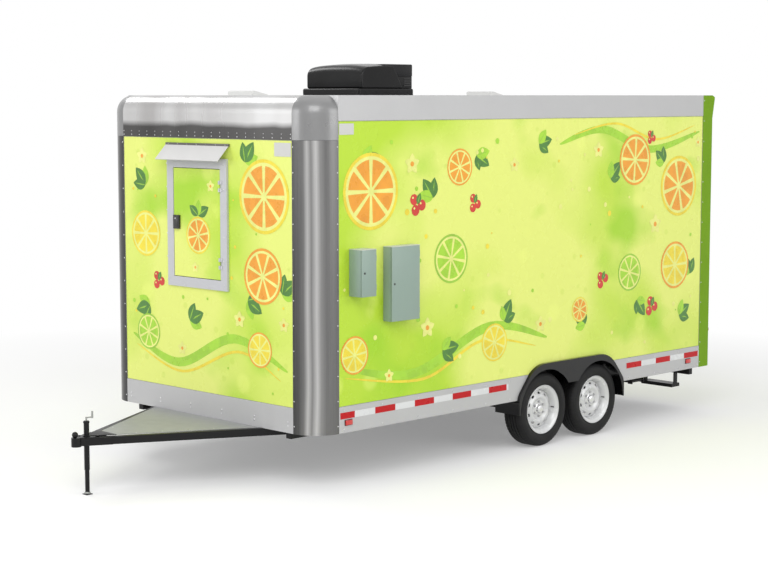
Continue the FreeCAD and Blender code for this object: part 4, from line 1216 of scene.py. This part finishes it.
    def moving(self, name, body, normal, face, across, window, places):
        """Fruit and leaves on a moving panel; across is the axis the face is fixed to."""
        if across:
            art = Print(lambda u, v: Vector((face, u, v)), normal, window)
        else:
            art = Print(lambda u, v: Vector((u, face, v)), normal, window)
        fruit = (("ink_orange", "ink_lemon"), ("ink_lime", "ink_green"))
        for (u, v, radius), (peel, flesh) in zip(places, fruit):
            for turn, ink in ((0.9, "ink_leaf"), (1.7, "ink_green"), (2.4, "ink_leaf")):
                art.layer += 0.3
                art.leaf(u, v + radius * 0.8, 0.13, turn, ink)
            art.layer += 0.6
            art.slice(u, v, radius, peel, flesh, turn)
            self.blossom(art, u + 0.24 - 0.4 * (u > 0.8), v - 0.16, 0.055)
            art.layer -= 1.5
        art.done(name, body)

    def rear(self):
        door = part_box("rear_door")
        window = (-HALF + 0.12, RAIL_TOP + 0.006, HALF - 0.12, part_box("rear_header")[0].z - 0.01)
        art = Print(on_rear(), (0, 1, 0), window,
                    [(door[0].x - 0.05, 0.0, HALF, door[1].z + 0.03)])
        for k, (u, v, radius, peel, flesh) in enumerate((
                (-0.80, 2.20, 0.28, "ink_lemon", "ink_orange"),
                (-0.35, 1.55, 0.20, "ink_orange", "ink_orange"),
                (-0.85, 1.10, 0.18, "ink_lime", "ink_green"),
                (0.02, 2.38, 0.16, "ink_orange", "ink_lemon"))):
            for size, turn, ink in ((0.12, 0.8, "ink_leaf"), (0.10, 1.5, "ink_green"),
                                    (0.11, 2.2, "ink_leaf")):
                art.leaf(u + radius * 0.9 * math.cos(1.5 + k), v + radius * 0.9, size,
                         turn - 0.4 * k, ink)
                art.layer += 0.4
            art.layer += 0.7
            art.slice(u, v, radius, peel, flesh, 0.4 * k)
            art.layer -= 1.9
        art.raise_layer()
        for u, v in ((-0.30, 2.05), (-0.45, 1.02), (0.10, 1.30)):
            self.blossom(art, u, v, 0.07)
        art.done("print_rear")


class TRAILER_OT_labels(bpy.types.Operator):
    """Blank stickers at the top of the front wall and of the street wall"""
    bl_idname = "trailer.labels"
    bl_label = "Blank stickers"

    def execute(self, context):
        mesh = bmesh.new()
        at = on_front(0.002)
        u, v = FRONT_HALF - 0.012, CORNICE - 0.020
        add_plate(mesh, [at(u - 0.19, v - 0.105), at(u, v - 0.105), at(u, v), at(u - 0.19, v)],
                  (0, -0.0004, 0))
        at = on_side(1, 0.002)
        u, v = FRONT + 0.26, TOP_RAIL - 0.020
        add_plate(mesh, [at(u, v - 0.085), at(u + 0.155, v - 0.085), at(u + 0.155, v), at(u, v)],
                  (0.0004, 0, 0))
        finish_piece(mesh, "blank_stickers", ["label"], smooth=False)
        return {"FINISHED"}


class TRAILER_OT_roof_unit(bpy.types.Operator):
    """Rooftop air conditioner: moulded shroud, inset rear housing, grilles and screws"""
    bl_idname = "trailer.roof_unit"
    bl_label = "Air conditioner"

    def execute(self, context):
        low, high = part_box("ac_shroud")
        length = high.y - low.y
        tall = high.z - low.z
        # Side outline, front to back: a full rounded nose and a crowned top.
        nose = 0.085
        outline = [(0.004, 0.0), (0.0, 0.02)]
        for k in range(9):
            turn = math.radians(180.0 - 90.0 * k / 8)
            outline.append((nose + nose * math.cos(turn), tall - 0.012 - nose + nose
                            * math.sin(turn)))
        outline += [(length * 0.35, tall - 0.002), (length * 0.52, tall),
                    (length * 0.62, tall - 0.001), (length * 0.80, 0.0)]
        mesh = bmesh.new()
        width = high.x - low.x
        side = mesh.faces.new([mesh.verts.new((low.x, low.y + a, low.z + b))
                               for a, b in outline])
        sections = 16
        for _ in range(sections):
            made = bmesh.ops.extrude_face_region(mesh, geom=[side], use_keep_orig=side.is_valid)
            side = next(item for item in made["geom"] if isinstance(item, bmesh.types.BMFace))
            bmesh.ops.translate(mesh, verts=side.verts, vec=(width / sections, 0, 0))
        for vert in mesh.verts:
            across = (2 * vert.co.x - low.x - high.x) / width
            crown = 0.014 * across ** 4 + 0.008 * across ** 2
            vert.co.z = low.z + (vert.co.z - low.z) * (1 - crown / tall)
        shell = finish_piece(mesh, "ac_shroud_nose", ["ac_black"], angle=38)
        soften(shell, 0.012, 3)
        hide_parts("ac_shroud")
        # Rear housing, a step inside the shroud: its upper part is a shade lighter as a painted
        # reflection, and dark below.
        mesh = bmesh.new()
        inset = 0.007
        add_box(mesh, (low.x + inset, low.y + length * 0.45, low.z + tall * 0.47),
                (high.x - inset, high.y, high.z - 0.006), 0, 0.010)
        add_box(mesh, (low.x + inset * 1.6, low.y + length * 0.45, low.z),
                (high.x - inset * 1.6, high.y - 0.004, low.z + tall * 0.48), 1, 0.003)
        for k in range(9):
            x = low.x + 0.09 + (width - 0.18) * k / 8
            add_box(mesh, (x - 0.020, high.y - 0.006, low.z + 0.025),
                    (x + 0.020, high.y - 0.0005, low.z + tall * 0.40), 2, 0.002)
        for sign in (1, -1):
            x = high.x if sign > 0 else low.x
            for k in range(4):
                z = low.z + 0.020 + 0.019 * k
                a, b = sorted((x - sign * 0.0125, x - sign * 0.0075))
                add_box(mesh, (a, high.y - 0.105, z), (b, high.y - 0.025, z + 0.009), 2, 0.0015)
        finish_piece(mesh, "ac_rear_housing", ["housing_painted_reflection", "ac_black", "seal_black"])
        # Base pan with a rolled rim, a gasket and hold-down screws.
        pan_low, pan_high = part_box("ac_base")
        refined("ac_base", "trailer", "ac_black", 0.016, 3)
        mesh = bmesh.new()
        add_box(mesh, (pan_low.x + 0.006, pan_low.y + 0.006, pan_low.z),
                (pan_high.x - 0.006, pan_high.y - 0.002, pan_low.z + 0.010), 0, 0.002)
        for sign in (1, -1):
            for k in range(5):
                y = pan_low.y + 0.08 + (pan_high.y - pan_low.y - 0.16) * k / 4
                edge = pan_high.x if sign > 0 else pan_low.x
                add_head(mesh, (edge - sign * 0.0005, y, pan_low.z + 0.03), (sign, 0, 0), 0.006,
                         0.0005, 1)
        finish_piece(mesh, "ac_gasket", ["seal_black", "zinc_nut"])
        return {"FINISHED"}


class TRAILER_OT_hatch_fittings(bpy.types.Operator):
    """Two-tone visor over the front hatch, its seal and screws, and the paddle latch"""
    bl_idname = "trailer.hatch_fittings"
    bl_label = "Hatch fittings"

    def execute(self, context):
        low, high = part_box("hatch_visor")
        rail_low = high.z - 0.020
        mesh = bmesh.new()
        add_box(mesh, (low.x, high.y - 0.016, rail_low), (high.x, high.y, high.z), 0, 0.003)
        for k in range(7):
            x = low.x + 0.04 + (high.x - low.x - 0.08) * k / 6
            add_head(mesh, (x, high.y - 0.016, rail_low + 0.010), (0, -1, 0), 0.0035, 0.002, 2, 8)
        rail = finish_piece(mesh, "visor_rail", ["visor_dark", "visor_pale", "screw_head"])
        mesh = bmesh.new()
        top_y, top_z = high.y - 0.010, rail_low + 0.004
        run = Vector((0, low.y - top_y, low.z - top_z))
        side = run.cross(Vector((1, 0, 0))).normalized() * 0.0025
        plate = [Vector((low.x + 0.002, top_y, top_z)), Vector((high.x - 0.002, top_y, top_z))]
        far = [point + run * 0.985 for point in plate]
        add_plate(mesh, [plate[0], plate[1], far[1], far[0]], side, 1)
        lip = run.normalized() * 0.010
        add_plate(mesh, [far[0], far[1], far[1] - lip, far[0] - lip], -side * 2.0, 1)
        skin = finish_piece(mesh, "visor_plate", ["visor_dark", "visor_pale"])
        soften(skin, 0.0012, 2)
        for piece in (rail, skin):
            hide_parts("hatch_visor")
        frame_low, frame_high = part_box("hatch_frame")
        mesh = bmesh.new()
        border = 0.085
        inner = (frame_low.x + border + 0.0005, frame_low.z + border + 0.0005,
                 frame_high.x - border - 0.0005, frame_high.z - border - 0.0005)
        y = WALL_Y - 0.004
        for a, b in (((inner[0], inner[1]), (inner[2], inner[1] + 0.004)),
                     ((inner[0], inner[3] - 0.004), (inner[2], inner[3])),
                     ((inner[0], inner[1]), (inner[0] + 0.004, inner[3])),
                     ((inner[2] - 0.0015, inner[1]), (inner[2], inner[3]))):
            add_box(mesh, (a[0], y, a[1]), (b[0], y + 0.003, b[1]), 0)
        for x in (frame_low.x + 0.018, frame_high.x - 0.018):
            for k in range(6):
                z = frame_low.z + 0.05 + (frame_high.z - frame_low.z - 0.1) * k / 5
                add_head(mesh, (x, frame_low.y, z), (0, -1, 0), 0.0045, 0.0022, 1)
        for x in (-0.22, 0.07):
            for z in (frame_low.z + 0.018, frame_high.z - 0.018):
                add_head(mesh, (x, frame_low.y, z), (0, -1, 0), 0.0045, 0.0022, 1)
        finish_piece(mesh, "hatch_seal", ["seal_black", "screw_head"])
        latch_low, latch_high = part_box("hatch_latch")
        mesh = bmesh.new()
        middle = (latch_low + latch_high) / 2
        add_box(mesh, (latch_low.x + 0.012, latch_low.y - 0.0012, latch_low.z + 0.014),
                (latch_high.x - 0.012, latch_low.y + 0.002, latch_high.z - 0.014), 0, 0.001)
        add_rod(mesh, (middle.x, latch_low.y + 0.001, latch_high.z - 0.026),
                (middle.x, latch_low.y - 0.0028, latch_high.z - 0.026), 0.0075, 1, 24)
        finish_piece(mesh, "latch_paddle", ["latch_black", "zinc_nut"], "hatch")
        return {"FINISHED"}


class TRAILER_OT_seals(bpy.types.Operator):
    """Sealant beads where the wall sheets meet the rails and posts, and the roof's seams"""
    bl_idname = "trailer.seals"
    bl_label = "Sealant beads"

    def execute(self, context):
        mesh = bmesh.new()
        size, shoulder = 0.0035, 0.145
        well_low, well_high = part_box("wheel_well_street")
        for sign in (1, -1):
            a, b = sorted((sign * WALL_X, sign * (WALL_X + size)))
            for start, end, low, high in (
                    (SIDE_START, well_low.y + shoulder, RAIL_TOP, RAIL_TOP + size),
                    (well_high.y - shoulder, SIDE_END, RAIL_TOP, RAIL_TOP + size),
                    (SIDE_START, SIDE_END, TOP_RAIL - size, TOP_RAIL),
                    (SIDE_END - size, SIDE_END, RAIL_TOP, TOP_RAIL),
                    (SIDE_START, SIDE_START + size, RAIL_TOP, TOP_RAIL)):
                add_box(mesh, (a, start, low), (b, end, high), 0, 0.0008)
        foot = RAIL_TOP - 0.006
        for left, right, low, high in ((-FRONT_HALF, FRONT_HALF, foot, foot + size),
                                       (-FRONT_HALF, FRONT_HALF, CORNICE - size, CORNICE),
                                       (-FRONT_HALF, -FRONT_HALF + size, foot, CORNICE),
                                       (FRONT_HALF - size, FRONT_HALF, foot, CORNICE)):
            add_box(mesh, (left, WALL_Y - size, low), (right, WALL_Y, high), 0, 0.0008)
        finish_piece(mesh, "sealant_beads", ["seal_grey"])
        mesh = bmesh.new()
        for k in range(9):
            along = SIDE_START + 0.35 + 0.52 * k
            if along < SIDE_END - 0.1:
                add_box(mesh, (-HALF + 0.06, along, ROOF), (HALF - 0.06, along + 0.03,
                                                            ROOF + 0.0016), 0, 0.0006)
        finish_piece(mesh, "roof_seams", ["roof_white"])
        return {"FINISHED"}


class TRAILER_OT_cabinets(bpy.types.Operator):
    """Bodies, doors, gaskets, hinges and locks of the two electrical boxes, with top caps painted
    pale as a painted highlight
    """
    bl_idname = "trailer.cabinets"
    bl_label = "Electrical boxes"

    # Start and end along the wall, bottom, top, and depth out from the rails.
    BOXES = ((0.363, 0.520, 1.505, 1.870, 0.140), (0.735, 1.050, 1.280, 1.870, 0.095))

    def execute(self, context):
        mesh = bmesh.new()
        for start, end, low, high, depth in self.BOXES:
            y0, y1 = FRONT + start, FRONT + end
            back, face = WALL_X + 0.0004, HALF + depth - 0.0015
            add_box(mesh, (back, y0, low), (face - 0.0150, y1, high - 0.006), 2, 0.003)
            add_box(mesh, (face - 0.0155, y0 + 0.003, low + 0.003),
                    (face - 0.0115, y1 - 0.003, high - 0.009), 1)
            add_box(mesh, (face - 0.0120, y0, low), (face - 0.0010, y1, high - 0.006), 2, 0.004)
            # Top cap in the pale finish: a painted highlight on the lit top.
            add_box(mesh, (back, y0, high - 0.0065), (face, y1, high), 0, 0.002)
            for z in (low + 0.07, high - 0.07):
                add_rod(mesh, (face - 0.004, y1 - 0.002, z - 0.022),
                        (face - 0.004, y1 - 0.002, z + 0.022), 0.0038, 2, 16)
            lock_y, lock_z = y0 + 0.030, (low + high) / 2
            spot = Vector((face - 0.0012, lock_y, lock_z))
            add_rod(mesh, spot, spot + Vector((0.0022, 0, 0)), 0.0085, 1, 24)
        boxes = finish_piece(mesh, "cabinet_bodies", ["cabinet_top_painted_highlight", "seal_black", "box_grey"])
        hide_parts("service_boxes")
        return {"FINISHED"}


class TRAILER_OT_rear_fittings(bpy.types.Operator):
    """Door casing, kick plate, lock and lamp rims on the rear wall"""
    bl_idname = "trailer.rear_fittings"
    bl_label = "Rear fittings"

    def execute(self, context):
        low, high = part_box("rear_door")
        left, right = low.x, 1.125
        mesh = bmesh.new()
        width, proud = 0.038, 0.007
        y0, y1 = REAR_Y, REAR_Y + proud
        add_box(mesh, (left - width - 0.006, y0, high.z + 0.006),
                (1.112, y1, high.z + 0.006 + width), 0, 0.002)
        add_box(mesh, (left - width - 0.006, y0, RAIL_TOP + 0.01),
                (left - 0.006, y1, high.z + 0.006), 0, 0.002)
        finish_piece(mesh, "door_casing", ["hatch_grey"])
        mesh = bmesh.new()
        face = low.y + 0.042
        add_box(mesh, (left + 0.02, face, low.z + 0.03),
                (right - 0.02, face + 0.0015, low.z + 0.24), 0, 0.0006)
        finish_piece(mesh, "door_kick_plate", ["hatch_grey"], "entry_door")
        mesh = bmesh.new()
        handle_low, handle_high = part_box("door_handle")
        x = (handle_low.x + handle_high.x) / 2
        add_rod(mesh, (x, face, handle_low.z - 0.075), (x, face + 0.008, handle_low.z - 0.075),
                0.019, 0, 32, 0.017)
        add_rod(mesh, (x, face + 0.008, handle_low.z - 0.075),
                (x, face + 0.012, handle_low.z - 0.075), 0.011, 1, 24)
        finish_piece(mesh, "door_lock", ["latch_black", "zinc_nut"], "entry_door")
        mesh = bmesh.new()
        lamp_low, lamp_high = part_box("tail_lamps")
        radius = (lamp_high.z - lamp_low.z) / 2
        for sign in (1, -1):
            centre = Vector((sign * (lamp_high.x - radius), REAR, (lamp_low.z + lamp_high.z) / 2))
            rim = [(0.0, radius - 0.004), (0.0, radius + 0.006), (0.004, radius + 0.005),
                   (0.006, radius + 0.0015), (0.006, radius - 0.0015), (0.002, radius - 0.004)]
            add_turned(mesh, rim + [rim[0]], centre, (0, 1, 0), 0, steps=48)
        finish_piece(mesh, "lamp_rims", ["seal_black"])
        return {"FINISHED"}


class TRAILER_OT_serving_side(bpy.types.Operator):
    """Screws of the serving frame, and the rim and pulls of the awning"""
    bl_idname = "trailer.serving_side"
    bl_label = "Serving side"

    def execute(self, context):
        low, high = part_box("serving_frame")
        mesh = bmesh.new()
        for y in (low.y + 0.020, high.y - 0.020):
            for k in range(7):
                z = low.z + 0.05 + (high.z - low.z - 0.12) * k / 6
                add_head(mesh, (-WALL_X - 0.015, y, z), (-1, 0, 0), 0.0045, 0.0022, 0)
        for k in range(12):
            y = low.y + 0.06 + (high.y - low.y - 0.12) * k / 11
            add_head(mesh, (-WALL_X - 0.015, y, low.z + 0.020), (-1, 0, 0), 0.0045, 0.0022, 0)
        finish_piece(mesh, "serving_screws", ["screw_head"])
        panel_low, panel_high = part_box("awning")
        face = -WALL_X - 0.012
        mesh = bmesh.new()
        y0, y1 = panel_low.y + 0.03, panel_high.y - 0.03
        for z in (panel_low.z + 0.02, panel_high.z - 0.075):
            add_box(mesh, (face - 0.0022, y0, z), (face, y1, z + 0.035), 0, 0.0008)
        for y in (y0, y1 - 0.035):
            add_box(mesh, (face - 0.0022, y, panel_low.z + 0.02), (face, y + 0.035,
                                                                   panel_high.z - 0.04), 0, 0.0008)
        for y in (panel_low.y + 0.55, panel_high.y - 0.55):
            add_box(mesh, (face - 0.010, y - 0.05, panel_low.z + 0.065),
                    (face - 0.001, y + 0.05, panel_low.z + 0.095), 1, 0.003)
        finish_piece(mesh, "awning_trim", ["hatch_grey", "latch_black"], "awning")
        return {"FINISHED"}


class TRAILER_OT_tongue_fittings(bpy.types.Operator):
    """Coupler bolts, deck screws and the collars of the jack"""
    bl_idname = "trailer.tongue_fittings"
    bl_label = "Tongue fittings"

    def execute(self, context):
        low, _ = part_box("coupler")
        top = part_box("tongue_rail_street")[1].z
        mesh = bmesh.new()
        for x, y in ((-0.045, low.y + 0.10), (0.045, low.y + 0.10), (-0.055, low.y + 0.20),
                     (0.055, low.y + 0.20)):
            add_rod(mesh, (x, y, top + 0.003), (x, y, top + 0.011), 0.0095, 0, 6)
            add_rod(mesh, (x, y, top + 0.0025), (x, y, top + 0.0042), 0.0125, 0, 20)
        finish_piece(mesh, "coupler_bolts", ["frame_black"])
        deck_low, deck_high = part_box("tongue_deck")
        mesh = bmesh.new()
        for k in range(6):
            t = (k + 0.5) / 6.5
            y = deck_low.y + (deck_high.y - deck_low.y) * t + 0.06
            x = max((deck_high.x - 0.02) * ((y - deck_low.y) / (deck_high.y - deck_low.y)) - 0.03,
                    0.03)
            if y < deck_high.y - 0.03:
                for sign in (1, -1):
                    add_head(mesh, (sign * x, y, deck_high.z), (0, 0, 1), 0.0055, 0.0025, 0)
        finish_piece(mesh, "deck_screws", ["screw_head"])
        mesh = bmesh.new()
        tube_low, tube_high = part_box("jack_tube")
        centre = (tube_low + tube_high) / 2
        add_turned(mesh, [(0.0, 0.0215), (0.0, 0.0235), (0.004, 0.0245), (0.010, 0.0245),
                          (0.014, 0.0235), (0.014, 0.0215)],
                   Vector((centre.x, centre.y, tube_high.z - 0.018)), (0, 0, 1), 0, steps=40)
        add_turned(mesh, [(0.0, 0.0180), (0.0, 0.0245), (0.006, 0.0245), (0.012, 0.0195),
                          (0.012, 0.0180)],
                   Vector((centre.x, centre.y, 0.0085)), (0, 0, 1), 1, steps=32)
        finish_piece(mesh, "jack_collars", ["frame_black", "jack_zinc"])
        return {"FINISHED"}


class TRAILER_OT_studio(bpy.types.Operator):
    """Camera, soft studio lights and a white floor"""
    bl_idname = "trailer.studio"
    bl_label = "Studio"

    def execute(self, context):
        scene = context.scene
        settings = scene.trailer_stage
        data = bpy.data.cameras.new("Camera")
        camera = bpy.data.objects.new("Camera", data)
        scene.collection.objects.link(camera)
        data.sensor_width = 36.0
        data.lens = settings.lens
        data.clip_end = 200.0
        camera.location = Vector(settings.eye) + Vector((0, FRONT, 0))
        camera.rotation_euler = (math.pi / 2 - settings.dip, 0.0, settings.heading)
        scene.camera = camera

        mesh = bmesh.new()
        bmesh.ops.create_grid(mesh, x_segments=1, y_segments=1, size=60.0)
        floor_data = bpy.data.meshes.new("Floor")
        mesh.to_mesh(floor_data)
        mesh.free()
        floor = bpy.data.objects.new("Floor", floor_data)
        scene.collection.objects.link(floor)
        floor_data.materials.append(self.floor_material())
        lights = [self.area("Key", (7.5, -9.0, 9.0), (0.6, -0.5, 1.2), 7.0, 640.0),
                  self.area("Fill", (12.0, 3.0, 5.0), (0.5, 0.8, 1.2), 7.0, 380.0),
                  self.area("Front", (-4.5, -12.0, 4.5), (0.0, -1.5, 1.4), 6.0, 350.0),
                  self.area("Top", (0.0, 0.5, 12.0), (0.0, 0.5, 0.0), 9.0, 110.0),
                  self.area("Rim", (-8.0, -1.5, 9.5), (0.0, 0.3, 1.6), 3.2, 190.0)]
        self.world(scene)
        scene.view_settings.view_transform = "Standard"
        return {"FINISHED"}

    def seen(self, s):
        """1 on camera, mirror and glass rays, 0 on the rays that carry light."""
        path = s.tree.nodes.new("ShaderNodeLightPath")
        total = s.maths("ADD", path.outputs["Is Camera Ray"], path.outputs["Is Glossy Ray"])
        total = s.maths("ADD", total, path.outputs["Is Transmission Ray"])
        return s.maths("MINIMUM", total, 1.0)

    def floor_material(self):
        """Pale floor that keeps soft shadows near the trailer and turns white further out."""
        s = Shader("studio_floor")
        at = s.object_space()
        seen = self.seen(s)
        cloud = s.noise(at, 0.35, 2.0)
        s.set(colour=s.blend(cloud, (0.755, 0.755, 0.755), (0.785, 0.785, 0.785)), rough=0.9,
              gloss=0.0, glow=(1.0, 1.0, 1.0), glow_power=s.maths("MULTIPLY", seen, 0.26))
        reach = s.add("ShaderNodeVectorMath", {0: at}, output="Value", operation="LENGTH")
        fade = s.remap(reach, 5.0, 8.5, 0.0, 1.0)
        white = s.add("ShaderNodeEmission", {"Color": (1.0, 1.0, 1.0), "Strength": 1.0})
        mixed = s.add("ShaderNodeMixShader", {0: s.maths("MULTIPLY", fade, seen)})
        s.tree.links.new(s.surface.outputs[0], mixed.node.inputs[1])
        s.tree.links.new(white, mixed.node.inputs[2])
        s.tree.links.new(mixed, s.out.inputs["Surface"])
        return s.material

    def area(self, name, place, target, size, power):
        data = bpy.data.lights.new(name, "AREA")
        data.shape = "SQUARE"
        data.size = size
        data.energy = power
        light = bpy.data.objects.new(name, data)
        bpy.context.scene.collection.objects.link(light)
        light.location = place
        light.rotation_euler = (Vector(target) - Vector(place)).to_track_quat(
            "-Z", "Y").to_euler()
        return light

    def world(self, scene):
        """White to the camera and in mirrors, softer as a light."""
        world = bpy.data.worlds.new("World")
        scene.world = world
        world.use_nodes = True
        tree = world.node_tree
        background = tree.nodes["Background"]
        path = tree.nodes.new("ShaderNodeLightPath")
        seen = path.outputs["Is Camera Ray"]
        for kind in ("Is Glossy Ray", "Is Transmission Ray"):
            total = tree.nodes.new("ShaderNodeMath")
            total.operation = "MAXIMUM"
            tree.links.new(seen, total.inputs[0])
            tree.links.new(path.outputs[kind], total.inputs[1])
            seen = total.outputs[0]
        strength = tree.nodes.new("ShaderNodeMapRange")
        tree.links.new(seen, strength.inputs["Value"])
        strength.inputs["To Min"].default_value = 0.54
        strength.inputs["To Max"].default_value = 1.0
        background.inputs["Color"].default_value = (1.0, 1.0, 1.0, 1.0)
        tree.links.new(strength.outputs[0], background.inputs["Strength"])


ORDER = (TRAILER_OT_finishes, TRAILER_OT_edges, TRAILER_OT_corner_caps, TRAILER_OT_wheels,
         TRAILER_OT_tape, TRAILER_OT_fasteners, TRAILER_OT_prints, TRAILER_OT_labels,
         TRAILER_OT_roof_unit, TRAILER_OT_hatch_fittings, TRAILER_OT_seals, TRAILER_OT_cabinets,
         TRAILER_OT_rear_fittings, TRAILER_OT_serving_side, TRAILER_OT_tongue_fittings,
         TRAILER_OT_studio)
GROUPS = {"trailer_colours": TrailerColours, "trailer_fasteners": TrailerFasteners,
          "trailer_tape": TrailerTape, "trailer_wheels": TrailerWheels,
          "trailer_stage": TrailerStage}


class VIEW3D_PT_trailer(bpy.types.Panel):
    """The trailer's build steps and their settings"""
    bl_idname = "VIEW3D_PT_trailer"
    bl_label = "Food Trailer"
    bl_space_type = "VIEW_3D"
    bl_region_type = "UI"
    bl_category = "Trailer"

    def draw(self, context):
        layout = self.layout
        for name, group in GROUPS.items():
            column = layout.column(align=True)
            column.label(text=group.__doc__.split(".")[0])
            for setting in group.__annotations__:
                column.prop(getattr(context.scene, name), setting)
        for operator in ORDER:
            layout.operator(operator.bl_idname)


def register():
    for group in GROUPS.values():
        bpy.utils.register_class(group)
    for name, group in GROUPS.items():
        setattr(bpy.types.Scene, name, PointerProperty(type=group))
    for operator in ORDER:
        bpy.utils.register_class(operator)
    bpy.utils.register_class(VIEW3D_PT_trailer)


def unregister():
    bpy.utils.unregister_class(VIEW3D_PT_trailer)
    for operator in reversed(ORDER):
        bpy.utils.unregister_class(operator)
    for name in GROUPS:
        delattr(bpy.types.Scene, name)
    for group in reversed(list(GROUPS.values())):
        bpy.utils.unregister_class(group)


def main():
    register()
    for operator in ORDER:
        group, name = operator.bl_idname.split(".")
        getattr(getattr(bpy.ops, group), name)()


if __name__ == "__main__":
    main()
